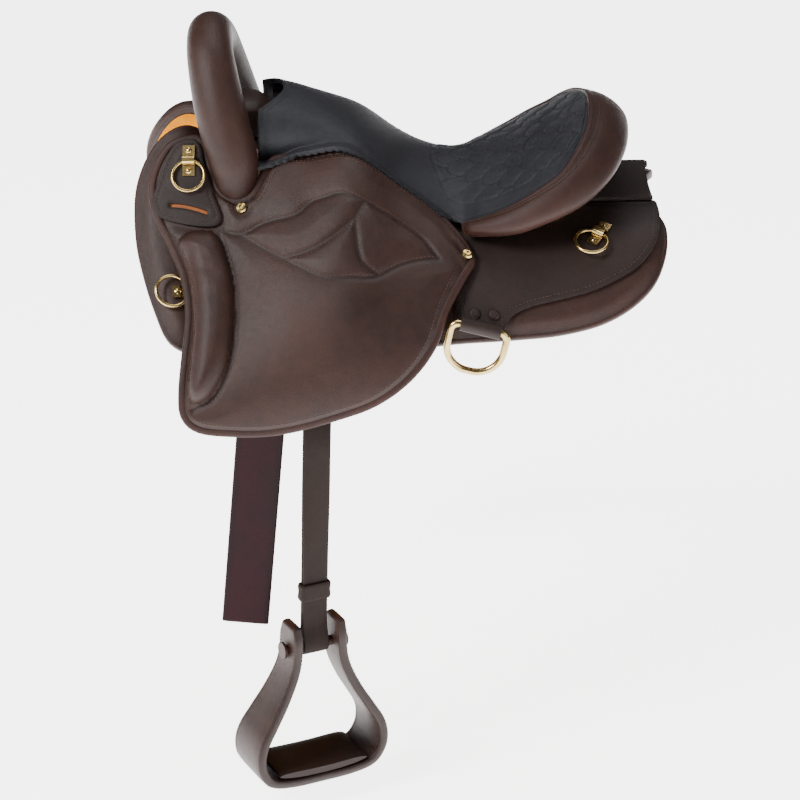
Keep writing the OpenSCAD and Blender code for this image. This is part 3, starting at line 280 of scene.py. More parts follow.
feltGrain = {"cloud": (55.0, 5.0, 0.65), "hair": (900.0, 3.0, 0.7), "tone": (0.3, 0.7), "rough": 0.95,
             "bump": 0.6, "depth": 0.0012, "gloss": 0.1}


def felt(name, look):
    f, k = Finish(name), feltGrain
    cloud, hair = f.noise(*k["cloud"]), f.noise(*k["hair"])
    f.shade(Base_Color=f.mix(f.ramp(cloud, *k["tone"]), look["deep"], look["base"]), Roughness=k["rough"],
            Normal=f.bump(k["bump"], k["depth"], hair), Specular_IOR_Level=k["gloss"])
    return f.material


woodGrain = {"stretch": (12.0, 130.0, 130.0), "detail": 6.0, "noise": 0.6, "tone": (0.3, 0.7), "rough": 0.62,
             "bump": 0.25, "depth": 0.0005}


def timber(name, look):
    f, k = Finish(name), woodGrain
    place = f.node("ShaderNodeTexCoord", out="Object")
    along = f.node("ShaderNodeMapping", {}, {"Vector": place, "Scale": k["stretch"]})
    grain = f.noise(1.0, k["detail"], k["noise"], along)
    f.shade(Base_Color=f.mix(f.ramp(grain, *k["tone"]), look["deep"], look["base"]), Roughness=k["rough"],
            Normal=f.bump(k["bump"], k["depth"], grain))
    return f.material


# name, colours of base, deep, crease and rim, scales of cloud and pore, least and most roughness, bump, gloss; the
# crease colour is partly a real dark line, partly painted shade in grooves
leathers = {
    "flap": ("waxed brown leather", (50, 27, 20), (31, 16, 12), (14, 8, 7), (22, 12, 9),
        9.0, 520.0, 0.43, 0.57, 0.3, 0.3),
    "edge": ("soft edge leather", (50, 26, 19), (34, 17, 13), (32, 19, 16), (52, 30, 25),
        14.0, 620.0, 0.46, 0.62, 0.26, 0.28),
    "matte": ("matte skirt leather", (36, 21, 16), (24, 14, 11), (20, 14, 12), (24, 16, 14),
        11.0, 700.0, 0.52, 0.68, 0.2, 0.28),
    "seat": ("black seat leather", (40, 40, 45), (26, 26, 30), (6, 6, 8), (12, 12, 15),
        16.0, 640.0, 0.46, 0.62, 0.3, 0.22),
    "strap": ("strap leather", (36, 26, 22), (26, 18, 16), (30, 23, 20), (38, 28, 24),
        13.0, 760.0, 0.5, 0.66, 0.18, 0.1),
    "girth": ("wine strap leather", (34, 3, 9), (20, 2, 6), (12, 3, 5), (18, 4, 7),
        10.0, 560.0, 0.28, 0.42, 0.16, 0.09),
    "tan": ("tan lining leather", (168, 98, 48), (136, 74, 34), (80, 44, 22), (110, 60, 30),
        20.0, 800.0, 0.5, 0.65, 0.15, 0.28),
    "thread": ("waxed thread", (84, 60, 50), (64, 44, 36), (56, 38, 30), (56, 38, 30),
        60.0, 1500.0, 0.55, 0.7, 0.2, 0.28),
    "blackThread": ("black thread", (36, 36, 40), (22, 22, 25), (20, 20, 22), (20, 20, 22),
        60.0, 1500.0, 0.5, 0.65, 0.2, 0.28)}
finishes = {key: leather(*look) for key, look in leathers.items()}
finishes |= {
    "brass": metal("pale brass", {
        "base": srgb(202, 178, 122), "dull": srgb(166, 138, 84), "cloud": 60.0, "rough": 0.15}),
    "steel": metal("brushed steel", {
        "base": srgb(176, 178, 180), "dull": srgb(140, 142, 145), "cloud": 40.0, "rough": 0.32}),
    "felt": felt("orange felt", {"base": srgb(212, 138, 0), "deep": srgb(184, 108, 0)}),
    "foam": felt("black foam", {"base": srgb(26, 26, 28), "deep": srgb(16, 16, 18)}),
    "wood": timber("bar wood", {"base": srgb(172, 136, 92), "deep": srgb(128, 96, 60)}),
}
print("finishes:", len(finishes))


# meshes on the charts and along lines
def addMesh(name, verts, faces, finish, body, near=False, attributes=None, sharp=40):
    verts = np.array(verts, float)
    if near:
        verts[:, 1] *= -1
        faces = [tuple(reversed(q)) for q in faces]
    mesh = bpy.data.meshes.new(name)
    mesh.from_pydata(verts.tolist(), [], [tuple(int(i) for i in q) for q in faces])
    for key, values in (attributes or {}).items():
        layer = mesh.attributes.new(key, "FLOAT", "POINT")
        layer.data.foreach_set("value", np.asarray(values, np.float32))
    obj = bpy.data.objects.new(name, mesh)
    bpy.context.scene.collection.objects.link(obj)
    mesh.materials.append(finishes[finish])
    bpy.ops.object.select_all(action="DESELECT")
    obj.select_set(True)
    bpy.context.view_layer.objects.active = obj
    if sharp:
        bpy.ops.object.shade_smooth_by_angle(angle=math.radians(sharp))
    else:
        bpy.ops.object.shade_smooth()
    obj.select_set(False)
    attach(obj, body)
    return obj


def chartPad(rows, loop, step, topAt, lowAt, holes=()):
    # a padded sheet over the inside of an outline: both faces and the wall between them
    lo, hi = loop.min(0), loop.max(0)
    nx, ng = (int((hi[k] - lo[k]) * chart[c] / step) + 1 for k, c in ((0, "span"), (1, "run")))
    xs, gs = np.linspace(lo[0], hi[0], nx + 1), np.linspace(lo[1], hi[1], ng + 1)
    cx, cg = np.meshgrid((xs[1:] + xs[:-1]) / 2, (gs[1:] + gs[:-1]) / 2, indexing="ij")
    keep = insideLoop(loop, cx.ravel(), cg.ravel())
    for hole in holes:
        keep &= ~insideLoop(hole, cx.ravel(), cg.ravel())
    keep = keep.reshape(cx.shape)
    full = np.pad(keep, 1)
    count = full[1:, 1:].astype(int) + full[:-1, 1:] + full[1:, :-1] + full[:-1, :-1]
    used, border = count > 0, (count > 0) & (count < 4)
    index = -np.ones(used.shape, int)
    index[used] = np.arange(used.sum())
    vx, vg = np.meshgrid(xs, gs, indexing="ij")
    x, g, edge = vx[used], vg[used], border[used]
    nearest, place = lineDistance(loop, x[edge], g[edge], True)
    for hole in holes:
        d, p = lineDistance(hole, x[edge], g[edge], True)
        place[d < nearest] = p[d < nearest]
        nearest = np.minimum(d, nearest)
    x[edge], g[edge] = place[:, 0], place[:, 1]
    d = lineDistance(loop, x, g, True)[0]
    for hole in holes:
        d = np.minimum(d, lineDistance(hole, x, g, True)[0])
    top, marks = topAt(x, g, d)
    low = lowAt(x, g, d)
    n = len(x)
    verts = np.concatenate([onChart(rows, x, g, top), onChart(rows, x, g, low)])
    faces = []
    for i, j in zip(*np.nonzero(keep)):
        a, b, c, e = index[i, j], index[i + 1, j], index[i + 1, j + 1], index[i, j + 1]
        faces.append((a, b, c, e))
        faces.append((n + e, n + c, n + b, n + a))
        for (p, q), joined in (((a, b), full[i + 1, j]), ((b, c), full[i + 2, j + 1]),
                               ((c, e), full[i + 1, j + 2]), ((e, a), full[i, j + 1])):
            if not joined:
                faces.append((q, p, n + p, n + q))
    marks = {k: np.concatenate([v, v]) for k, v in marks.items()}
    return verts, faces, marks


def sweep(centres, sides, ups, section, closed):
    # section: one list of side and up sizes for all rings, or one for each ring
    n = len(centres)
    section = np.asarray(section, float)
    section = np.broadcast_to(section, (n,) + section.shape[-2:])
    m = section.shape[1]
    verts = (centres[:, None] + section[..., :1] * sides[:, None] + section[..., 1:] * ups[:, None]).reshape(-1, 3)
    faces = []
    for k in range(n if closed else n - 1):
        k2 = (k + 1) % n
        for i in range(m):
            i2 = (i + 1) % m
            faces.append((k * m + i, k * m + i2, k2 * m + i2, k2 * m + i))
    if not closed:
        tips = np.stack([verts[:m].mean(0), verts[-m:].mean(0)])
        verts = np.concatenate([verts, tips])
        faces += [(n * m, (i + 1) % m, i) for i in range(m)]
        faces += [(n * m + 1, (n - 1) * m + i, (n - 1) * m + (i + 1) % m) for i in range(m)]
    return verts, faces


def roundedSection(width, thick, count, power=0.62):
    a = np.linspace(0, 2 * math.pi, count, endpoint=False)
    c, s = np.cos(a), np.sin(a)
    return np.stack([width / 2 * np.sign(c) * np.abs(c)**power, thick / 2 * np.sign(s) * np.abs(s)**power], axis=1)


boundLook = {"step": 0.02, "probe": 0.001, "sides": 14}


def boundEdge(rows, loop, width, mid, thick):
    loop = evenLine(loop, boundLook["step"], True)
    inner, centre, outer = (insetLoop(loop, width * s) for s in (1, 0.5, 0))
    c = onChart(rows, *centre.T, mid)
    side = onChart(rows, *inner.T, mid) - onChart(rows, *outer.T, mid)
    up = onChart(rows, *centre.T, mid + boundLook["probe"]) - onChart(rows, *centre.T, mid - boundLook["probe"])
    verts, faces = sweep(c, unit(side), unit(up), roundedSection(width, thick, boundLook["sides"]), True)
    return verts, faces, {}


# a stitch: three rings of three points, and a point sunk in the leather at each end
stitch = {"pitch": 0.0046, "length": 0.0031, "thick": 0.00046, "step": 0.006, "probe": 0.001, "least": 1e-6,
          "rings": ((-0.34, 0.75), (0.0, 1.0), (0.34, 0.75)), "ring": ((1, -0.2), (0, 1), (-1, -0.2)), "sink": 0.5}


def stitchRow(store, points, ups, closed=False):
    line = evenLine(points, stitch["pitch"] / 2, closed)
    tops = unit(evenLine(np.concatenate([points, ups], axis=1), stitch["pitch"] / 2, closed)[:, 3:])
    for k in range(0, len(line) - 1, 2):
        along = line[min(k + 1, len(line) - 1)] - line[k]
        size = np.linalg.norm(along)
        if size < stitch["least"]:
            continue
        along, up = along / size, tops[k]
        side = np.cross(along, up)
        at = line[k] + along * stitch["pitch"] / 2
        first = len(store["verts"])
        for s, r in stitch["rings"]:
            ring = at + along * s * stitch["length"]
            store["verts"] += [ring + (side * a + up * b) * stitch["thick"] * r for a, b in stitch["ring"]]
        for s in (-0.5, 0.5):
            store["verts"].append(at + along * s * stitch["length"] - up * stitch["thick"] * stitch["sink"])
        for i in range(3):
            j = (i + 1) % 3
            for ring in (first, first + 3):
                store["faces"].append((ring + i, ring + j, ring + j + 3, ring + i + 3))
            store["faces"].append((first + 9, first + j, first + i))
            store["faces"].append((first + 10, first + 6 + i, first + 6 + j))


def chartStitch(store, rows, line, offset, closed=False):
    line = evenLine(line, stitch["step"], closed)
    p = onChart(rows, *line.T, offset)
    up = unit(onChart(rows, *line.T, np.asarray(offset) + stitch["probe"]) - p)
    stitchRow(store, p, up, closed)


def newStore():
    return {"verts": [], "faces": []}


def bothSides(name, build, finish, replaces=()):
    verts, faces, marks = build
    made = []
    for side in ("near", "off"):
        obj = addMesh(name + "_" + side, verts, faces, finish, "saddle", side == "near", marks)
        for node in replaces:
            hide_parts(node + "_" + side)
        made.append(obj)
    return made


def declareSheet(obj, flat):
    # both faces are meshed, so the cut is half of the mesh's area
    area = min(sum(q.area for q in obj.data.polygons) / 2, flat[0] * flat[1])


def level(height):
    return lambda x, g, d: height + 0 * d


def loopSize(loop):
    return tuple((loop.max(0) - loop.min(0)) * chartSize)


# outlines on the charts
flapLoop = smoothLoop([
    [-0.742, 0.014], [-0.8, 0.02], [-0.87, 0.05], [-0.92, 0.12], [-0.94, 0.2], [-0.92, 0.29], [-0.86, 0.39],
    [-0.81, 0.48], [-0.79, 0.58], [-0.8, 0.71], [-0.81, 0.83], [-0.8, 0.9], [-0.74, 0.94], [-0.62, 0.95],
    [-0.46, 0.945], [-0.27, 0.91], [-0.09, 0.86], [0.04, 0.77], [0.13, 0.64], [0.18, 0.48], [0.24, 0.29], [0.28, 0.14],
    [0.27, 0.055], [0.215, 0.022], [0.1, 0.012], [-0.02, 0.012], [-0.15, 0.012], [-0.3, 0.012], [-0.43, 0.012],
    [-0.49, 0.034], [-0.53, 0.1], [-0.565, 0.16], [-0.614, 0.177], [-0.665, 0.16], [-0.692, 0.105]])
tabLoop = smoothLoop([
    [-0.775, 0.03], [-0.835, 0.055], [-0.875, 0.11], [-0.9, 0.18], [-0.92, 0.25], [-0.89, 0.3], [-0.79, 0.318],
    [-0.695, 0.3], [-0.662, 0.26], [-0.695, 0.19], [-0.73, 0.1], [-0.745, 0.045]])
kneeLoop = smoothLoop([
    [-0.815, 0.37], [-0.785, 0.45], [-0.762, 0.54], [-0.757, 0.63], [-0.765, 0.73], [-0.772, 0.81], [-0.75, 0.855],
    [-0.69, 0.83], [-0.632, 0.735], [-0.611, 0.61], [-0.613, 0.485], [-0.635, 0.4], [-0.675, 0.325], [-0.74, 0.325]])
panelLoop = smoothLoop([
    [-0.73, 0.005], [-0.83, 0.022], [-0.91, 0.065], [-0.967, 0.145], [-0.995, 0.26], [-0.99, 0.39], [-0.96, 0.49],
    [-0.91, 0.59], [-0.84, 0.68], [-0.7, 0.71], [-0.5, 0.71], [-0.3, 0.7], [-0.05, 0.68], [0.2, 0.66], [0.42, 0.66],
    [0.59, 0.657], [0.75, 0.632], [0.87, 0.578], [0.95, 0.5], [0.99, 0.39], [1, 0.27], [0.992, 0.17], [0.96, 0.075],
    [0.895, 0.024], [0.78, 0.01], [0.55, 0.01], [0.3, 0.01], [0, 0.01], [-0.3, 0.01], [-0.55, 0.01]])
skirtLoop = smoothLoop([
    [0.66, 0.06], [0.76, 0.05], [0.87, 0.05], [0.955, 0.06], [0.97, 0.12], [0.97, 0.23], [0.945, 0.36], [0.89, 0.44],
    [0.81, 0.49], [0.7, 0.53], [0.58, 0.55], [0.48, 0.565], [0.42, 0.585], [0.395, 0.61], [0.375, 0.635], [0.3, 0.62],
    [0.225, 0.6], [0.205, 0.57], [0.2, 0.52], [0.16, 0.47], [0.05, 0.43], [-0.06, 0.38], [-0.05, 0.3], [0.1, 0.25],
    [0.3, 0.245], [0.5, 0.235], [0.6, 0.19], [0.63, 0.12]])
brownStitch = newStore()
blackStitch = newStore()

# flaps with their sewn leaves
flap = {
    "thick": 0.009, "puff": 0.0046, "puffRun": 0.02, "groove": (0.0036, 0.0013), "step": 0.0021, "inset": 0.004,
    "studs": ((-0.588, 0.212), (0.248, 0.122)), "studCalm": (0.006, 0.012), "tabCalm": (0.002, 0.014),
    "wrinkle": 0.0006, "wrinkleRun": 0.2, "waves": ((46, 2.6, 17), (39, 3, 8)), "topFall": (0.010, 0.0035),
    "lowRise": (0.010, 0.0025), "creaseLineAndShade": (0.0024, 0.4), "rim": (0.008, 0.6), "bound": (0.0095, -0.0039, 0.0074),
    "seamSteps": 60, "besideSeam": 0.0032, "edgeStitch": 0.0125, "topStitch": 0.0165, "topCount": 66,
    "threadLift": 0.0001}
# the last seam goes round the knee roll
flapSeams = [smoothLine(line, flap["seamSteps"]) for line in (
    [(-0.66, 0.30), (-0.59, 0.30), (-0.50, 0.26), (-0.39, 0.24), (-0.33, 0.20), (-0.28, 0.19), (-0.22, 0.18),
     (-0.13, 0.19)],
    [(-0.13, 0.19), (-0.17, 0.26), (-0.22, 0.31), (-0.29, 0.35), (-0.35, 0.37), (-0.43, 0.385)],
    [(-0.59, 0.30), (-0.48, 0.36), (-0.36, 0.42), (-0.27, 0.46), (-0.18, 0.46), (-0.09, 0.44), (0.01, 0.36),
     (0.14, 0.27)],
    [(-0.13, 0.19), (-0.07, 0.19), (-0.02, 0.19), (0.08, 0.21), (0.14, 0.265)],
    [(-0.13, 0.19), (-0.16, 0.25), (-0.16, 0.32), (-0.14, 0.40), (-0.08, 0.432)],
    [(-0.672, 0.305), (-0.631, 0.396), (-0.608, 0.483), (-0.604, 0.609), (-0.624, 0.735), (-0.677, 0.83),
     (-0.755, 0.875)])]
# folds of the knee roll: rate along g, slant with x, place, run, height
knee = {"height": 0.0142, "round": 0.021, "power": 1.15,
        "folds": ((62, 5, 0.42, 0.10, 0.0009), (120, 9, 0.40, 0.06, 0.0005))}


def kneeBump(x, g):
    s = np.where(insideLoop(kneeLoop, x, g), lineDistance(kneeLoop, x, g, True)[0], 0) / knee["round"]
    s = np.clip(s, 0, 1)
    fold = 0
    for rate, slant, place, run, high in knee["folds"]:
        fold = fold + np.sin(g * rate + slant * x) * dip(g - place, run, high)
    return knee["height"] * np.sqrt(1 - (1 - s)**2)**knee["power"] + fold * s


def flapTop(x, g, d):
    seam = np.min([lineDistance(line, x, g)[0] for line in flapSeams], axis=0)
    fromTab = np.where(insideLoop(tabLoop, x, g), 0, lineDistance(tabLoop, x, g, True)[0])
    fromStud = np.min([np.hypot((x - a) * chart["span"], (g - b) * chart["run"]) for a, b in flap["studs"]], axis=0)
    calm = rise(fromTab, *flap["tabCalm"]) * rise(fromStud, *flap["studCalm"])
    puff = flap["puff"] * (1 - np.exp(-np.minimum(seam, d + flap["inset"]) / flap["puffRun"]))
    (xRate, xSway, xTurn), (gRate, gSway, gTurn) = flap["waves"]
    waves = np.sin(x * xRate + xSway * np.sin(g * xTurn)) * np.sin(g * gRate + gSway * np.sin(x * gTurn))
    wrinkle = flap["wrinkle"] * waves * smoothStep(x / flap["wrinkleRun"])
    top = (puff + wrinkle - dip(seam, *flap["groove"])) * calm - fade(d, *flap["topFall"]) + kneeBump(x, g)
    # the crease mark darkens the seam grooves: partly a dark seam line, partly painted shade in the groove
    return top, {"creaseLineAndShade": dip(seam, *flap["creaseLineAndShade"]), "rim": fade(d, *flap["rim"])}


def flapLow(x, g, d):
    return -flap["thick"] + fade(d, *flap["lowRise"])


pad = chartPad(flapRows, insetLoop(flapLoop, flap["inset"]), flap["step"], flapTop, flapLow)
bothSides("flap_pad", pad, "flap", ["flap", "knee_roll"])
bothSides("flap_bound_edge", boundEdge(flapRows, flapLoop, *flap["bound"]), "edge", ["flap_binding"])


def flapStitch(line, closed=False):
    line = evenLine(line, stitch["step"], closed)
    top = flapTop(*line.T, lineDistance(flapLoop, *line.T, True)[0])[0]
    chartStitch(brownStitch, flapRows, line, top + flap["threadLift"], closed)


for line in flapSeams:
    flapStitch(besideLine(line, flap["besideSeam"]))
flapStitch(insetLoop(flapLoop, flap["edgeStitch"]), True)
flapStitch(insetLoop(flapLoop, flap["topStitch"])[-flap["topCount"]:])
print("flaps done")

# ring tabs
tab = {
    "low": 0.0012, "thick": 0.004, "step": 0.0019, "slotAt": (-0.785, 0.262), "slotSize": (0.044, 0.005),
    "stitch": 0.0055, "edge": (0.0022, 0.0012), "groove": (0.0012, 0.0005), "patchRun": 0.0016, "patchHigh": 0.0011,
    "creaseLineAndShade": (0.0011, 0.5), "patchEdge": 0.0006, "patchLineAndShade": (0.0006, 0.4), "rim": (0.0028, 0.9),
    "threadSink": 0.0002, "liningOver": 0.004, "liningSteps": 8, "liningStep": 0.002, "liningLow": 0.0003,
    "liningTop": 0.0009}
tabSlot = tab["slotAt"] + np.array([(-1, -1), (1, -1), (1, 1), (-1, 1)]) * tab["slotSize"] / 2 / chartSize
tabPatch = smoothLoop([
    [-0.785, 0.05], [-0.827, 0.09], [-0.852, 0.15], [-0.862, 0.2], [-0.785, 0.222], [-0.712, 0.2], [-0.735, 0.13],
    [-0.757, 0.075]])


def tabTop(x, g, d):
    line = np.abs(lineDistance(tabLoop, x, g, True)[0] - tab["stitch"])
    patch = np.where(insideLoop(tabPatch, x, g), lineDistance(tabPatch, x, g, True)[0], 0)
    top = tab["low"] + tab["thick"] - fade(d, *tab["edge"]) - dip(line, *tab["groove"])
    top = top + tab["patchHigh"] * smoothStep(patch / tab["patchRun"])
    # darkens the stitch groove and the patch edge: partly a dark stitched line, partly painted shade in the groove and
    # at the step
    creaseLineAndShade = dip(line, *tab["creaseLineAndShade"]) + dip(patch - tab["patchEdge"], *tab["patchLineAndShade"])
    return top, {"creaseLineAndShade": creaseLineAndShade, "rim": fade(d, *tab["rim"])}


def liningTop(x, g, d):
    return tab["liningTop"] + 0 * d, {}


leaf = chartPad(flapRows, tabLoop, tab["step"], tabTop, level(tab["low"]), [tabSlot])
for obj in bothSides("ring_tab_leather", leaf, "matte", ["ring_tab"]):
    declareSheet(obj, loopSize(tabLoop))
slotLoop = smoothLoop(insetLoop(tabSlot, -tab["liningOver"]), tab["liningSteps"])
bothSides("slot_lining", chartPad(flapRows, slotLoop, tab["liningStep"], liningTop, level(tab["liningLow"])), "tan")
tabFace = tab["low"] + tab["thick"]
chartStitch(brownStitch, flapRows, insetLoop(tabLoop, tab["stitch"]), tabFace - tab["threadSink"], True)

# panels, their bound edges and felt
panel = {
    "thick": 0.024, "edge": 0.011, "round": 0.022, "over": 0.004, "step": 0.0045, "inset": 0.005, "rim": (0.006, 0.5),
    "bound": (0.010, -0.012, 0.0118), "feltInset": 0.0095, "feltTop": 0.022, "feltStep": 0.007, "feltOver": 0.007,
    "feltGap": 0.0004, "feltThick": 0.004, "feltRise": (-0.001, 0.006)}


def panelFall(d):
    return fade(d + panel["over"], panel["round"], (panel["thick"] - panel["edge"]) / 2)


def panelTop(x, g, d):
    return -panelFall(d), {"rim": fade(d, *panel["rim"])}


def panelLow(x, g, d):
    return panelFall(d) - panel["thick"]


def feltTop(x, g, d):
    return panelLow(x, g, d + panel["feltOver"]) - panel["feltGap"], {}


def feltLow(x, g, d):
    return panelLow(x, g, d + panel["feltOver"]) - panel["feltThick"] * rise(d, *panel["feltRise"])


pad = chartPad(panelRows, insetLoop(panelLoop, panel["inset"]), panel["step"], panelTop, panelLow)
bothSides("panel_pad", pad, "flap", ["panel"])
bothSides("panel_bound_edge", boundEdge(panelRows, panelLoop, *panel["bound"]), "edge", ["panel_binding"])
feltLoop = insetLoop(panelLoop, panel["feltInset"])
feltLoop[:, 1] = np.maximum(feltLoop[:, 1], panel["feltTop"])
pad = chartPad(panelRows, feltLoop, panel["feltStep"], feltTop, feltLow)
bothSides("panel_felt", pad, "felt", ["panel_lining"])
print("panels done")

# skirts and rear yoke
skirt = {
    "low": 0.0018, "thick": 0.004, "step": 0.0032, "stitch": 0.007, "edge": (0.0026, 0.0012),
    "groove": (0.0014, 0.0006), "seam": (0.0016, 0.001), "creaseLineAndShade": (0.0012, 0.55), "seamLineAndShade": (0.0014, 0.8),
    "rim": (0.003, 0.8), "threadSink": 0.0003}
skirtSeam = np.array([[0.62, 0.115], [0.75, 0.108], [0.97, 0.1]])
skirtFace = skirt["low"] + skirt["thick"]


def skirtTop(x, g, d):
    line = np.abs(d - skirt["stitch"])
    seam = lineDistance(skirtSeam, x, g)[0]
    top = skirtFace - fade(d, *skirt["edge"]) - dip(line, *skirt["groove"]) - dip(seam, *skirt["seam"])
    # darkens the stitch groove and the seam groove: partly a dark seam line, partly painted shade in the grooves
    creaseLineAndShade = np.maximum(dip(line, *skirt["creaseLineAndShade"]), dip(seam, *skirt["seamLineAndShade"]))
    return top, {"creaseLineAndShade": creaseLineAndShade, "rim": fade(d, *skirt["rim"])}


def slab(top, low):
    m, n = top.shape[:2]
    k = m * n
    faces = []
    for i in range(m - 1):
        for j in range(n - 1):
            a, b, c, d = i * n + j, (i + 1) * n + j, (i + 1) * n + j + 1, i * n + j + 1
            faces.append((a, b, c, d))
            faces.append((k + d, k + c, k + b, k + a))
    rim = [*range(n - 1), *range(n - 1, k - 1, n), *range(k - 1, k - n, -1), *range(k - n, 0, -n)]
    for a, b in zip(rim, rim[1:] + rim[:1]):
        faces.append((a, b, k + b, k + a))
    return np.concatenate([top.reshape(-1, 3), low.reshape(-1, 3)]), faces


leaf = chartPad(panelRows, skirtLoop, skirt["step"], skirtTop, level(skirt["low"]))
for obj in bothSides("skirt_leather", leaf, "matte", ["skirt"]):
    declareSheet(obj, loopSize(skirtLoop))
chartStitch(brownStitch, panelRows, insetLoop(skirtLoop, skirt["stitch"]), skirtFace - skirt["threadSink"], True)
yoke = {"x": (0.7, 0.953), "g": 0.075, "gap": 0.0012, "sag": 0.006, "thick": 0.004, "flat": (0.079, 0.152),
        "along": 40, "across": 41}
half = onChart(panelRows, np.linspace(*yoke["x"], yoke["along"]), yoke["g"], skirtFace + yoke["gap"])
across = np.linspace(-1, 1, yoke["across"])
yokeLow = np.stack([half * (1, t, 1) - (0, 0, yoke["sag"] * (1 - t**2)) for t in across], axis=1)
yokePad = addMesh("rear_yoke_leather", *slab(yokeLow + (0, 0, yoke["thick"]), yokeLow), "matte", "saddle")
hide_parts("rear_yoke")
declareSheet(yokePad, yoke["flat"])

# seat
seatRows = np.array([
    [-0.53, 0.68, 0.23, 0.31, 1.5], [-0.45, 0.67, 0.24, 0.34, 1.38], [-0.37, 0.64, 0.25, 0.4, 1.15],
    [-0.18, 0.53, 0.29, 0.45, 0.7], [0, 0.35, 0.315, 0.274, 0.56], [0.15, 0.275, 0.372, 0.128, 0.56],
    [0.23, 0.275, 0.42, 0.068, 0.58], [0.3, 0.29, 0.475, 0.118, 0.62], [0.37, 0.315, 0.51, 0.175, 0.64],
    [0.44, 0.35, 0.52, 0.235, 0.62], [0.51, 0.41, 0.515, 0.3, 0.6], [0.58, 0.465, 0.49, 0.365, 0.58],
    [0.63, 0.51, 0.44, 0.435, 0.56], [0.665, 0.545, 0.365, 0.49, 0.54], [0.69, 0.57, 0.27, 0.53, 0.52],
    [0.705, 0.585, 0.16, 0.565, 0.5], [0.715, 0.592, 0.04, 0.59, 0.5]])
seat = {
    "notch": 0.09, "notchWidth": 0.4, "notchRise": (0.25, 0.28), "leastWidth": 0.0004, "leastRun": 1e-6, "thick": 0.004,
    "front": -0.53, "turn": 0.6, "back": 0.115, "along": 240, "backSteps": 60, "backPower": 1.7, "across": 150,
    "acrossPower": 0.9, "frontRise": (0.12, 0.15), "lap": 7, "lapEnd": 0.25, "lapGap": 0.003, "frontGap": 0.004,
    "lapRise": (-0.21, 0.06), "lapShift": (0, 0.0002, -0.0008), "ease": (7, 0.5), "easeTurns": 40, "swellAt": 4,
    "swellRun": 4.5, "swellFoot": 1.5, "swellOut": 0.006, "swellUp": 0.004, "shell": 0.040, "row": 0.023,
    "rowShift": 0.2, "squeeze": 0.98, "bend": 0.03, "quiltStart": 0.10, "quiltBow": 0.10, "quiltRun": 0.035,
    "quiltRim": (0.024, 0.006), "quiltBack": (0.022, 0.008), "quilt": 0.0014, "quiltRise": 0.006, "ringAt": 0.0095,
    "ring": (0.0011, 0.0005), "groove": 0.0006, "grooveRun": 0.0012, "border": 0.0006, "borderRun": 0.25,
    "weltAt": 0.523, "welt": (0.0022, 0.0012), "edgeAt": 0.006, "edge": 0.0006, "edgeRun": 0.0013, "scallop": 0.0017,
    "scallopPitch": 0.0085, "scallopEnd": (-0.24, 0.03), "scallopFront": (-0.5, 0.02), "scallopOut": (0.6, 0.4),
    "scallopDrop": 0.7, "grooveLineAndShade": 0.3, "ringLineAndShade": (0.001, 0.1), "borderLineAndShade": 0.25, "edgeLineAndShade": 0.3,
    "rim": (0.004, 0.4), "threadRows": (6, 236), "threadIn": 4, "threadFront": 7, "threadLift": 0.0004}


def seatAt(x, t):
    notch = np.maximum(0, 1 - (t / seat["notchWidth"])**2) * rise(-x, *seat["notchRise"])
    xs = x + seat["notch"] * notch
    r, a = rowAt(seatRows, xs), np.abs(t)
    w = np.maximum(r[:, 1] * chart["reach"], seat["leastWidth"])
    y = 2 * a * (1 - a) * r[:, 3] * w + a**2 * w
    z = ((1 - a**2) * r[:, 0] + a**2 * r[:, 2]) * chart["drop"]
    return np.stack([xs * chart["span"], np.sign(t) * y, z], axis=1)


def shellRelief(u, v):
    # overlapping shells: the rearmost row that holds a point is on top
    size, row = seat["shell"], seat["row"]
    depth = np.full(len(u), -1.0)
    order = np.floor(u / row).astype(int)
    for behind in range(3, -2, -1):
        r = order + behind
        cu = (r + seat["rowShift"]) * row
        shift = (r % 2) / 2
        cv = (np.round(v / size - shift) + shift) * size
        inside = size / 2 - np.hypot(u - cu, v - cv) * seat["squeeze"]
        depth = np.where((depth < 0) & (inside > 0), inside, depth)
    return np.maximum(depth, 0)


backShare = 1 - (1 - np.linspace(0, 1, seat["backSteps"] + 1)[1:])**seat["backPower"]
sx = np.append(np.linspace(seat["front"], seat["turn"], seat["along"]), seat["turn"] + seat["back"] * backShare)
st = np.linspace(-1, 1, seat["across"])
st = np.sign(st) * np.abs(st)**seat["acrossPower"]
sn, tn = len(sx), len(st)
gx, gt = np.meshgrid(sx, st, indexing="ij")
p = seatAt(gx.ravel(), gt.ravel()).reshape(sn, tn, 3)

# the lower edge laps over the flap
lapLine = np.array([
    [-0.53, 0.078], [-0.458, 0.05], [-0.379, 0.028], [-0.29, 0.026], [-0.15, 0.026], [0, 0.026], [0.075, 0.026],
    [0.149, 0.024], [0.25, 0.02]])
lapX = np.minimum(sx, seat["lapEnd"])
front = rise(-sx, *seat["frontRise"])[:, None]
lap = onChart(flapRows, lapX, np.interp(lapX, *lapLine.T), seat["lapGap"] + seat["frontGap"] * front[:, 0])
edge = p[:, -1]
lap = edge + (lap - edge) * rise(-sx, *seat["lapRise"])[:, None] + seat["lapShift"]
lapShare = np.linspace(0, 1, seat["lap"] + 1)[1:]
lapOff = np.stack([edge + (lap - edge) * share for share in lapShare], axis=1)
p = np.concatenate([lapOff[:, ::-1] * (1, -1, 1), p, lapOff], axis=1)
ends = np.ones((sn, seat["lap"]))
gt = np.concatenate([-ends, gt, ends], axis=1)
out = np.concatenate([lapShare[::-1], np.zeros(tn), lapShare])
tn = len(out)
gx = np.repeat(sx[:, None], tn, axis=1)
column = np.arange(tn)
ease = sum(dip(column - fold, *seat["ease"]) for fold in (seat["lap"], tn - 1 - seat["lap"]))
ease = (ease * front)[:, 1:-1, None]
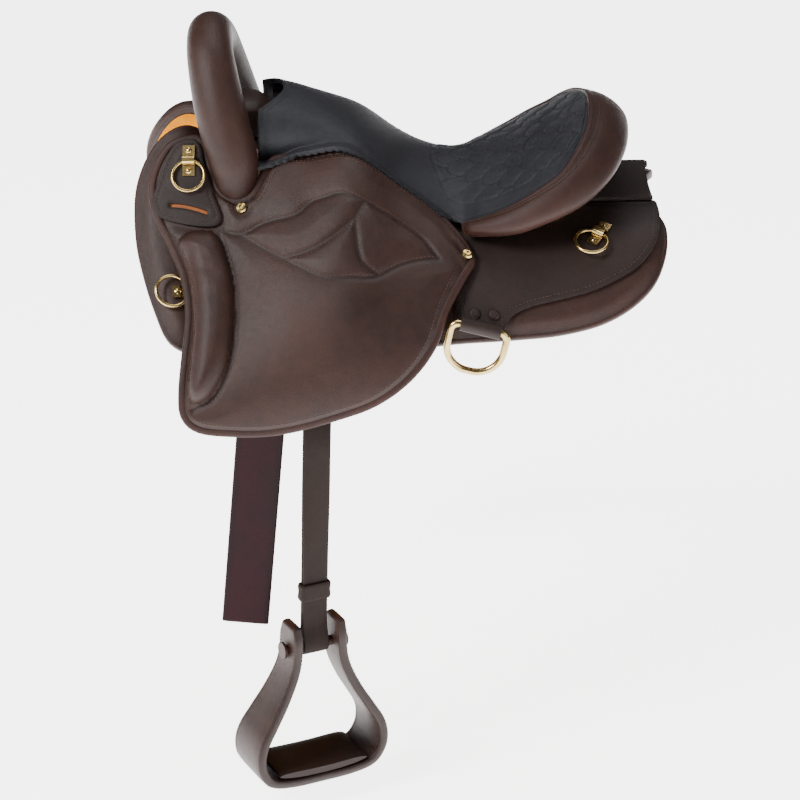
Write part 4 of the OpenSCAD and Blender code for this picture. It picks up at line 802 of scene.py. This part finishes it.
for again in range(seat["easeTurns"]):
    p[:, 1:-1] += ease * ((p[:, :-2] + p[:, 2:]) / 2 - p[:, 1:-1])
step = np.minimum(column, tn - 1 - column)
swell = front * (dip(step - seat["swellAt"], seat["swellRun"]) * (1 - dip(step, seat["swellFoot"])))
p += swell[..., None] * np.stack([0 * gt, seat["swellOut"] * np.sign(gt), seat["swellUp"] + 0 * gt], axis=2)

# quilting, welts and the pinked edge
middle = tn // 2
normal = unit(np.cross(np.gradient(p, axis=0), np.gradient(p, axis=1)))
normal *= np.sign(normal[:, middle, 2])[:, None, None]
runV = np.cumsum(np.linalg.norm(np.diff(p, axis=1), axis=2), axis=1)
runV = np.concatenate([np.zeros((sn, 1)), runV], axis=1)
runV -= runV[:, middle:middle + 1]
runU = np.append(0, np.cumsum(np.linalg.norm(np.diff(p[:, middle], axis=0), axis=1)))
rim = np.minimum(runV - runV[:, :1], runV[:, -1:] - runV)
rimBack = np.linalg.norm(p - p[-1, middle], axis=2)
zone = rise(gx - seat["quiltBow"] * gt**2, seat["quiltStart"], seat["quiltRun"])
zone = zone * rise(rim, *seat["quiltRim"]) * rise(rimBack, *seat["quiltBack"])
bend = runV / np.maximum(runV[:, -1:], seat["leastRun"])
shells = shellRelief((runU[:, None] + seat["bend"] * bend**2).ravel(), runV.ravel()).reshape(sn, tn)
ring = shells - seat["ringAt"]
lift = seat["quilt"] * (1 - np.exp(-shells / seat["quiltRise"])) - dip(ring, *seat["ring"])
groove = dip(shells, seat["grooveRun"])
border = dip(zone - 0.5, seat["borderRun"])
welt = dip((gx + seat["weltAt"]) * chart["span"], *seat["welt"])
edgeLine = dip(rim - seat["edgeAt"], seat["edgeRun"])
relief = zone * (lift - seat["groove"] * groove) - seat["border"] * border + welt - seat["edge"] * edgeLine
p = p + normal * relief[..., None]
wave = seat["scallop"] * np.abs(np.sin(np.pi * gx * chart["span"] / seat["scallopPitch"]))
wave = wave * rise(-gx, *seat["scallopEnd"]) * rise(gx, *seat["scallopFront"])
outward = np.sign(gt) * rise(out, *seat["scallopOut"]) * wave
p[..., 1] += outward
p[..., 2] -= np.abs(outward) * seat["scallopDrop"]
# the crease mark darkens the quilting grooves, ring, border and edge line: partly dark stitch lines, partly painted
# shade in the grooves
creaseLineAndShade = zone * (seat["grooveLineAndShade"] * groove + dip(ring, *seat["ringLineAndShade"]))
creaseLineAndShade = np.clip(creaseLineAndShade + seat["borderLineAndShade"] * border + seat["edgeLineAndShade"] * edgeLine, 0, 1)
verts, faces = slab(p, p - normal * seat["thick"])
marks = {"creaseLineAndShade": np.tile(creaseLineAndShade.ravel(), 2), "rim": np.tile(fade(rim, *seat["rim"]).ravel(), 2)}
seatPad = addMesh("seat_leather", verts, faces, "seat", "saddle", attributes=marks, sharp=60)
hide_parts("seat_cover")
raised = p + normal * seat["threadLift"]
rows, columns = slice(*seat["threadRows"]), slice(seat["threadIn"], -seat["threadIn"])
for inner in (seat["threadIn"], tn - 1 - seat["threadIn"]):
    stitchRow(blackStitch, raised[rows, inner], normal[rows, inner])
stitchRow(blackStitch, raised[seat["threadFront"], columns], normal[seat["threadFront"], columns])
print("seat done")

# cantle roll
cantleRows = np.array([
    [0.23, 0.444, 0.07, 0.245, 0.485, 0.02], [0.3, 0.484, 0.12, 0.305, 0.525, 0.045],
    [0.37, 0.514, 0.175, 0.37, 0.555, 0.06], [0.44, 0.524, 0.235, 0.44, 0.573, 0.085],
    [0.51, 0.519, 0.3, 0.515, 0.578, 0.13], [0.58, 0.494, 0.365, 0.595, 0.565, 0.175],
    [0.632, 0.445, 0.435, 0.67, 0.53, 0.22], [0.669, 0.37, 0.49, 0.74, 0.47, 0.28],
    [0.697, 0.273, 0.53, 0.8, 0.368, 0.34], [0.715, 0.145, 0.57, 0.845, 0.21, 0.4], [0.72, 0, 0.59, 0.86, 0, 0.43]])
# threads: place from rim to foot, share of the bulge, tilt to the rim
cantle = {
    "bulge": 0.012, "steps": 150, "sectionSteps": 5, "gap": 0.0004, "tip": 0.25, "tipRun": 0.03, "pucker": 0.0009,
    "puckerRate": 640, "puckerRun": 0.02, "creaseAt": 0.1, "creaseLineAndShade": (0.02, 0.5),
    "threads": ((0.05, 0.34, 4), (0.14, 0.56, 0)), "threadLift": 0.0008, "threadEnd": 4}
rollSection = smoothLoop([
    [-0.03, -0.2], [-0.03, 0.2], [0.1, 0.42], [0.3, 0.8], [0.6, 0.97], [0.88, 0.75], [1, 0.15], [0.98, -0.85],
    [0.6, -1.05], [0.24, -0.7]], cantle["sectionSteps"])
size3 = np.array([chart["span"], chart["reach"], chart["drop"]])
q = smoothLine(np.concatenate([cantleRows * (1, -1, 1, 1, -1, 1), cantleRows[-2::-1]]), cantle["steps"])
rimLine, foot = q[:, :3] * size3, q[:, 3:] * size3
down = foot - rimLine
out = unit(np.cross(down, np.gradient(rimLine, axis=0)))
share = np.linspace(0, 1, len(q))
end = np.minimum(share, 1 - share)
bulge = cantle["bulge"] * (cantle["tip"] + (1 - cantle["tip"]) * smoothStep(end / cantle["tipRun"]))
across, high = rollSection.T
section = np.stack([across + 0 * bulge[:, None], high * bulge[:, None] + cantle["gap"]], axis=2)
verts, faces = sweep(rimLine, down, out, section, False)
pucker = cantle["pucker"] * np.sin(share * cantle["puckerRate"]) * np.exp(-end / cantle["puckerRun"])
verts[:-2] += (out[:, None] * pucker[:, None, None] * np.clip(high, 0, 1)[:, None]).reshape(-1, 3)
# darkens a line beside the rim seam on the outer face: partly a dark seam line, partly painted shade where the roll
# turns down to the rim
creaseLineAndShade = dip(across - cantle["creaseAt"], *cantle["creaseLineAndShade"]) * (high > 0)
marks = {"creaseLineAndShade": np.append(np.tile(creaseLineAndShade, len(q)), [0, 0])}
roll = addMesh("cantle_roll_pad", verts, faces, "edge", "saddle", attributes=marks, sharp=60)
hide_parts("cantle_roll")
sewn = slice(cantle["threadEnd"], -cantle["threadEnd"])
for place, height, tilt in cantle["threads"]:
    line = rimLine + down * place + out * (height * cantle["bulge"] + cantle["threadLift"])
    stitchRow(brownStitch, line[sewn], unit(out - down * tilt)[sewn])

# pommel hoop and fork
hoopRows = np.array([
    [-0.715, 0, 0.962, 0.91], [-0.706, 0.145, 0.89, 0.94], [-0.677, 0.236, 0.69, 1.01], [-0.65, 0.284, 0.538, 1.02],
    [-0.627, 0.313, 0.425, 1], [-0.615, 0.326, 0.33, 0.95], [-0.612, 0.33, 0.25, 0.82], [-0.61, 0.333, 0.19, 0.66],
    [-0.61, 0.335, 0.14, 0.42]])
hoop = {"radius": 0.029, "steps": 130, "sides": 40, "rippleRate": 70, "rippleAt": 0.16, "ripple": (0.08, 0.012)}
q = smoothLine(np.concatenate([hoopRows[::-1] * (1, -1, 1, 1), hoopRows[1:]]), hoop["steps"])
line = q[:, :3] * size3
along = unit(np.gradient(line, axis=0))
ahead = unit(np.array([1.0, 0, 0]) - along[:, :1] * along)
share = np.linspace(0, 1, len(q))
ripple = np.sin(share * hoop["rippleRate"]) * dip(np.minimum(share, 1 - share) - hoop["rippleAt"], *hoop["ripple"])
radius = q[:, 3] * hoop["radius"] * (1 + ripple)
a = np.linspace(0, 2 * math.pi, hoop["sides"], endpoint=False)
section = radius[:, None, None] * np.stack([np.cos(a), np.sin(a)], axis=1)
verts, faces = sweep(line, ahead, np.cross(along, ahead), section, False)
hoopPad = addMesh("pommel_hoop_pad", verts, faces, "flap", "saddle", sharp=0)
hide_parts("pommel_hoop")
forkRows = np.array([
    [-0.7, 0.53, 0.145, 0.5], [-0.665, 0.61, 0.15, 0.55], [-0.6, 0.63, 0.145, 0.57], [-0.54, 0.62, 0.125, 0.57],
    [-0.5, 0.58, 0.1, 0.54], [-0.44, 0.51, 0.085, 0.48]])
fork = {"along": 44, "across": 33, "power": 4, "least": 0.02, "above": 0.032}
x, mid, wide, side = smoothLine(forkRows, fork["along"]).T
forkTop = np.stack([
    np.stack([x, t * wide, mid - (mid - side) * t**fork["power"]], axis=1) * size3
    for t in np.linspace(-1, 1, fork["across"])], axis=1)
forkLow = forkTop.copy()
forkLow[..., 2] = np.minimum(forkTop[..., 2] - fork["least"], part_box("fork")[0][2] + fork["above"])
forkPad = addMesh("fork_cover", *slab(forkTop, forkLow), "flap", "saddle", sharp=60)
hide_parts("fork")
print("hoop and cantle done")

# straps
strap = {
    "hanger": 0.028, "bar": 0.006, "spread": 0.030, "turnTop": 0.1995, "turnEnd": 0.3486, "steps": 90, "probe": 0.0004,
    "headSteps": 11, "footSteps": 15, "sides": 20, "power": 0.34, "rim": 0.8, "rimRise": (0.44, 0.05),
    "creaseAt": 0.42, "creaseLineAndShade": (0.02, 0.5), "hem": 0.001, "spare": 1.05}
leatherStrap = {"pin": (-0.0899, 0.1595, -0.0118195), "gaps": (0.0095, 0.0039, 0.0171), "width": 0.032, "thick": 0.0035}
girthStrap = {"pin": (-0.14322, 0.1508, -0.0128301), "gaps": (0.010, 0.0044, 0.0048), "width": 0.055, "thick": 0.004,
              "lean": 5.2}
hang = {"near": {"drop": 0.426, "girth": 0.418, "yaw": 28.0, "lean": 1.5, "tilt": 0.0},
        "off": {"drop": 0.184, "girth": 0.345, "yaw": 0.0, "lean": 0.0, "tilt": 20.0}}
leatherLine = np.array([
    [0.557, -0.13], [0.557, -0.18], [0.557, -0.21], [0.578, -0.26], [0.615, -0.32], [0.665, -0.4], [0.757, -0.54],
    [0.84, -0.7], [0.885, -0.84], [0.899, -0.96], [0.9, -1.1], [0.9, -2.5]])
girthLine = np.array([
    [0.527, -0.13], [0.527, -0.18], [0.527, -0.21], [0.558, -0.26], [0.605, -0.32], [0.66, -0.4], [0.725, -0.52],
    [0.742, -0.62], [0.742, -0.8], [0.742, -2.5]])


def lineAt(line, z):
    rows = np.stack([line[::-1, 1] * chart["drop"], line[::-1, 0] * chart["reach"]], axis=1)
    return rowAt(rows, z)[:, 0]


def strapPath(line, top, low, gapTop, gap, gapLow):
    z = np.linspace(top, low, strap["steps"])
    y = lineAt(line, z)
    s = strap["probe"]
    lean = unit(np.stack([lineAt(line, z - s) - lineAt(line, z + s), np.full(len(z), -2 * s)], axis=1))
    g = gap + fade(top - z - strap["bar"], strap["spread"], gapTop - gap) + fade(z - low, strap["spread"], gapLow - gap)
    sides = [np.stack([y - s * lean[:, 1] * g / 2, z + s * lean[:, 0] * g / 2], axis=1) for s in (1, -1)]
    a = np.radians(np.linspace(0, -180, strap["footSteps"])[1:-1])
    b = np.radians(np.linspace(180, 0, strap["headSteps"])[1:-1])
    bottom = (sides[0][-1] + sides[1][-1]) / 2 + gapLow / 2 * np.stack([np.cos(a), np.sin(a)], axis=1)
    head = (sides[0][0] + sides[1][0]) / 2 + gapTop / 2 * np.stack([np.cos(b), np.sin(b)], axis=1)
    return np.concatenate([sides[0], bottom, sides[1][::-1], head])


def strapMesh(path, look):
    centre = np.stack([np.full(len(path), look["pin"][0]), path[:, 0], path[:, 1]], axis=1)
    along = unit(np.roll(path, -1, axis=0) - np.roll(path, 1, axis=0))
    up = np.stack([np.zeros(len(path)), -along[:, 1], along[:, 0]], axis=1)
    side = np.broadcast_to(np.array([1.0, 0, 0]), centre.shape)
    section = roundedSection(look["width"], look["thick"], strap["sides"], strap["power"])
    verts, faces = sweep(centre, side, up, section, True)
    out = np.abs(section[:, 0]) / look["width"]
    rim = rise(out, *strap["rimRise"]) * strap["rim"]
    creaseLineAndShade = dip(out - strap["creaseAt"], *strap["creaseLineAndShade"])
    return verts, faces, {"rim": np.tile(rim, len(path)), "creaseLineAndShade": np.tile(creaseLineAndShade, len(path))}


def turn(u, v, a):
    return u * np.cos(a) - v * np.sin(a), u * np.sin(a) + v * np.cos(a)


def turnedVerts(verts, x, y, yaw):
    a = -math.radians(yaw) * rise(-verts[:, 2], strap["turnTop"], strap["turnEnd"] - strap["turnTop"])
    dx, dy = turn(verts[:, 0] - x, verts[:, 1] - y, a)
    return np.stack([x + dx, y + dy, verts[:, 2]], axis=1)


def leanVerts(verts, pin, degrees):
    dx, dz = turn(verts[:, 0] - pin[0], verts[:, 2] - pin[2], -math.radians(degrees))
    return np.stack([pin[0] + dx, verts[:, 1], pin[2] + dz], axis=1)


def hungVerts(verts, h, tilt, y, z):
    # tilt about x, then yaw about z, then the lean of the whole leather
    pin = leatherStrap["pin"]
    dy, dz = turn(verts[:, 1], verts[:, 2], tilt)
    dx, dy = turn(verts[:, 0], dy, -math.radians(h["yaw"]))
    return leanVerts(np.stack([dx + pin[0], dy + y, dz + z], axis=1), pin, h["lean"])


def strapTop(look):
    return look["pin"][2] - strap["hanger"] + strap["bar"]


def strapSheet(obj, path, look):
    length = float(np.linalg.norm(np.diff(np.concatenate([path, path[:1]]), axis=0), axis=1).sum())
    declareSheet(obj, (look["width"] + strap["hem"], length * strap["spare"]))


leatherTop, girthTop = strapTop(leatherStrap), strapTop(girthStrap)
leatherY = leatherLine[-1, 0] * chart["reach"]
for side, h in hang.items():
    pin = leatherStrap["pin"]
    path = strapPath(leatherLine, leatherTop, leatherTop - h["drop"], *leatherStrap["gaps"])
    verts, faces, marks = strapMesh(path, leatherStrap)
    verts = leanVerts(turnedVerts(verts, pin[0], leatherY, h["yaw"]), pin, h["lean"])
    obj = addMesh("stirrup_strap_" + side, verts, faces, "strap", "leather_" + side, side == "near", marks, 60)
    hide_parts("stirrup_leather_" + side)
    strapSheet(obj, path, leatherStrap)
    path = strapPath(girthLine, girthTop, girthTop - h["girth"], *girthStrap["gaps"])
    verts, faces, marks = strapMesh(path, girthStrap)
    verts = leanVerts(verts, girthStrap["pin"], girthStrap["lean"])
    obj = addMesh("girth_strap_leather_" + side, verts, faces, "girth", "girth_" + side, side == "near", marks, 60)
    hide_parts("girth_strap_" + side)
    strapSheet(obj, path, girthStrap)
print("straps done")

# stirrups
stirrup = {
    "half": 0.084, "height": 0.168, "depth": 0.070, "thick": 0.012, "lobe": 0.62, "lobeRun": -0.8, "steps": 300,
    "tip": 0.72, "tipRun": 20, "endStart": 0.4, "endRun": 5, "endDepth": 0.7, "sides": 28, "power": 0.45,
    "lipAt": 0.93, "lip": (0.05, 0.22), "seamAt": 0.84, "seam": (0.025, 0.6), "rimAt": 0.9, "rim": 0.5,
    "threadLift": 0.0002, "threadEnd": 12}
tread = {"half": 0.68, "along": 40, "across": 25, "depth": 0.47, "top": (0.03, -0.86), "roundSide": 0.003,
         "roundEnd": 0.003, "low": (0.14, 0.05, -0.967), "gap": 0.0008, "least": 0.001}
postRows = np.array([
    [0.34, 0.2], [0.34, 0.12], [0.345, 0], [0.375, -0.11], [0.45, -0.22], [0.59, -0.36], [0.76, -0.5], [0.9, -0.62],
    [0.955, -0.73], [0.92, -0.84], [0.77, -0.93], [0.45, -0.963], [0, -0.967]])
q = smoothLine(np.concatenate([postRows * (-1, 1), postRows[-2::-1]]), stirrup["steps"])
q = q * (stirrup["half"], stirrup["height"])
along = unit(np.gradient(q, axis=0))
centre = np.stack([q[:, 0], 0 * q[:, 0], q[:, 1]], axis=1)
up = np.stack([-along[:, 1], 0 * q[:, 0], along[:, 0]], axis=1)
side3 = np.broadcast_to(np.array([0, 1.0, 0]), centre.shape)
edge = np.minimum(np.arange(len(q)), len(q) - 1 - np.arange(len(q)))
tip = stirrup["tip"] + (1 - stirrup["tip"]) * smoothStep(edge / stirrup["tipRun"])
roundEnd = np.sqrt(1 - (1 - np.clip((edge + stirrup["endStart"]) / stirrup["endRun"], 0, 1))**2)
lobe = stirrup["lobe"] + (1 - stirrup["lobe"]) * smoothStep(q[:, 1] / stirrup["height"] / stirrup["lobeRun"])
depth = stirrup["depth"] / 2 * tip * (stirrup["endDepth"] + (1 - stirrup["endDepth"]) * roundEnd) * lobe
base = roundedSection(2.0, 2.0, stirrup["sides"], stirrup["power"])
out = np.abs(base[:, 0])
face = base[:, 1] * (1 + dip(out - stirrup["lipAt"], *stirrup["lip"])) * stirrup["thick"] / 2
section = np.stack([base[:, 0] * depth[:, None], roundEnd[:, None] * face], axis=2)
frameVerts, frameFaces = sweep(centre, side3, up, section, False)
marks = {"creaseLineAndShade": dip(out - stirrup["seamAt"], *stirrup["seam"]), "rim": (out > stirrup["rimAt"]) * stirrup["rim"]}
frameMarks = {name: np.append(np.tile(mark, len(q)), [0, 0]) for name, mark in marks.items()}
tx = np.linspace(-tread["half"], tread["half"], tread["along"])
ty = np.linspace(-1, 1, tread["across"])[None]
treadTop = np.zeros((tread["along"], tread["across"], 3))
treadTop[..., 0] = (tx * stirrup["half"])[:, None]
treadTop[..., 1] = ty * tread["depth"] * stirrup["depth"]
curve = np.polyval((tread["top"][0], 0, tread["top"][1]), tx) * stirrup["height"]
curve -= tread["roundEnd"] * np.abs(tx / tread["half"])**8
treadTop[..., 2] = curve[:, None] - tread["roundSide"] * np.abs(ty)**6
treadLow = treadTop.copy()
sixth, second, plain = tread["low"]
curve = (second * tx**2 + sixth * tx**6 + plain) * stirrup["height"] + stirrup["thick"] / 2 + tread["gap"]
treadLow[..., 2] = np.minimum(curve[:, None], treadTop[..., 2] - tread["least"])
treadVerts, treadFaces = slab(treadTop, treadLow)
threads = newStore()
sewn = slice(stirrup["threadEnd"], -stirrup["threadEnd"])
for s in (-stirrup["seamAt"], stirrup["seamAt"]):
    for face in (1, -1):
        line = centre + side3 * (s * depth)[:, None] + up * (face * (stirrup["thick"] / 2 + stirrup["threadLift"]))
        stitchRow(threads, line[sewn], (up * face)[sewn])
threadVerts = np.array(threads["verts"])


def stirrupPlace(verts, h):
    z = leatherTop - h["drop"]
    return hungVerts(verts, h, math.radians(h["tilt"]), lineAt(leatherLine, np.array([z]))[0], z)


for side, h in hang.items():
    body, near = "stirrup_" + side, side == "near"
    obj = addMesh("stirrup_cover_" + side, stirrupPlace(frameVerts, h), frameFaces, "flap", body, near, frameMarks, 60)
    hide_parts("stirrup_frame_" + side)
    obj = addMesh("stirrup_tread_pad_" + side, stirrupPlace(treadVerts, h), treadFaces, "matte", body, near, sharp=60)
    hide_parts("stirrup_tread_" + side)
    addMesh("stirrup_thread_" + side, stirrupPlace(threadVerts, h), threads["faces"], "thread", body, near, sharp=0)
print("stirrups done")

# keepers that hold the two runs of a stirrup leather together
keeper = {
    "height": 0.021, "thick": 0.0025, "wide": 0.0328, "deep": 0.0086, "up": {"near": 0.060, "off": 0.040},
    "body": {"near": "keeper_near", "off": "leather_off"}, "steps": 72, "step": 0.0012, "corner": (0.22, 0.3),
    "sides": 20, "power": 0.4, "seamAt": 0.0068, "swell": (0.0028, 0.0007), "rimAt": 0.0096, "rim": 0.7,
    "creaseLineAndShade": (0.0016, 0.7), "threadLift": 0.0007}
a = np.linspace(0, 2 * math.pi, keeper["steps"], endpoint=False)
circle = np.stack([np.cos(a), np.sin(a)], axis=1)
halves = (np.array([keeper["wide"], keeper["deep"]]) + keeper["thick"]) / 2
bandLine = halves * np.sign(circle) * np.abs(circle)**keeper["corner"]
bandLine = evenLine(np.column_stack([bandLine, 0 * a]), keeper["step"], True)
bandAlong = unit(np.roll(bandLine, -1, axis=0) - np.roll(bandLine, 1, axis=0))
bandOut = np.stack([bandAlong[:, 1], -bandAlong[:, 0], 0 * bandAlong[:, 0]], axis=1)
bandUp = np.broadcast_to(np.array([0, 0, 1.0]), bandLine.shape)
bandSection = roundedSection(keeper["height"], keeper["thick"], keeper["sides"], keeper["power"])
out = np.abs(bandSection[:, 0])
bandSection[:, 1] += (bandSection[:, 1] > 0) * dip(out - keeper["seamAt"], *keeper["swell"])
bandVerts, bandFaces = sweep(bandLine, bandUp, bandOut, bandSection, True)
bandMarks = {"rim": np.tile((out > keeper["rimAt"]) * keeper["rim"], len(bandLine)),
             "creaseLineAndShade": np.tile(dip(out, *keeper["creaseLineAndShade"]), len(bandLine))}
threads = newStore()
for height in (-keeper["seamAt"], keeper["seamAt"]):
    line = bandLine + bandUp * height + bandOut * (keeper["thick"] / 2 + keeper["threadLift"])
    stitchRow(threads, line, bandOut, True)
threadVerts = np.array(threads["verts"])


def keeperPlace(verts, side, h):
    tall = keeper["height"]
    z = leatherTop - h["drop"] + keeper["up"][side]
    low, high, mid = lineAt(leatherLine, np.array([z, z + tall, z + tall / 2]))
    return hungVerts(verts, h, math.atan2(low - high, tall), mid, z + tall / 2)


for side, h in hang.items():
    body, near = keeper["body"][side], side == "near"
    verts = keeperPlace(bandVerts, side, h)
    obj = addMesh("keeper_band_" + side, verts, bandFaces, "strap", body, near, bandMarks, 60)
    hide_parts("leather_keeper_" + side)
    verts = keeperPlace(threadVerts, side, h)
    addMesh("keeper_thread_" + side, verts, threads["faces"], "thread", body, near, sharp=0)
print("keepers done")

# thread of the saddle
for side in ("near", "off"):
    verts = np.array(brownStitch["verts"])
    addMesh("saddle_thread_" + side, verts, brownStitch["faces"], "thread", "saddle", side == "near", sharp=0)
addMesh("seat_thread", np.array(blackStitch["verts"]), blackStitch["faces"], "blackThread", "saddle", sharp=0)

# finishes of the carried-over nodes
nodeFinish = {
    "ring": "brass", "dee_loop": "matte", "rear_dee": "brass", "clip": "brass", "flap_screws": "brass",
    "dee_rivets": "matte", "hanger": "steel", "pivot": "steel", "bolt": "flap", "tree": "wood", "hoop_core": "steel",
    "strainer": "steel", "foam": "foam"}
for name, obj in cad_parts.items():
    if obj.hide_render:
        continue
    for key, finish in nodeFinish.items():
        if key in name:
            obj.data.materials.clear()
            obj.data.materials.append(finishes[finish])

# floor, light and camera
studio = {
    "floorZ": -0.66, "floorSize": 30, "floorRough": 0.9, "floorGlow": 4.4, "white": (1, 1, 1, 1), "worldGlow": 0.15,
    "camera": (0.0, -3.3138, 1.1466), "pitch": 23.0, "lens": 131.88, "sensor": 36.0}
bpy.ops.mesh.primitive_plane_add(size=studio["floorSize"], location=(0, 0, studio["floorZ"]))
floor = bpy.context.object
floor.name = "floor"
bpy.ops.object.transform_apply(location=True)
paper = Finish("white floor")
paper.shade(Base_Color=srgb(252, 252, 252), Roughness=studio["floorRough"], Emission_Color=studio["white"],
            Emission_Strength=studio["floorGlow"])
floor.data.materials.append(paper.material)
world = bpy.data.worlds.new("studio")
bpy.context.scene.world = world
world.use_nodes = True
backdrop = world.node_tree.nodes["Background"]
backdrop.inputs["Color"].default_value = studio["white"]
backdrop.inputs["Strength"].default_value = studio["worldGlow"]


def areaLight(name, place, target, size, power):
    data = bpy.data.lights.new(name, "AREA")
    data.shape, data.size, data.energy = "DISK", size, power
    lamp = bpy.data.objects.new(name, data)
    lamp.location = place
    lamp.rotation_euler = (Vector(target) - Vector(place)).to_track_quat("-Z", "Y").to_euler()
    bpy.context.scene.collection.objects.link(lamp)


areaLight("key", place=(-2.2, -1.7, 2.3), target=(0, 0, 0), size=1.3, power=150)
areaLight("fill", place=(2.2, -2.0, 1.0), target=(0, 0, -0.1), size=1.6, power=20)
areaLight("top", place=(0.2, 0.5, 2.6), target=(0, 0, 0), size=2.0, power=45)
camera = bpy.data.cameras.new("photo")
camera.lens, camera.sensor_width = studio["lens"], studio["sensor"]
view = bpy.data.objects.new("photo", camera)
view.location = studio["camera"]
view.rotation_euler = (math.radians(90 - studio["pitch"]), 0, 0)
bpy.context.scene.collection.objects.link(view)
bpy.context.scene.camera = view

print("scene done")
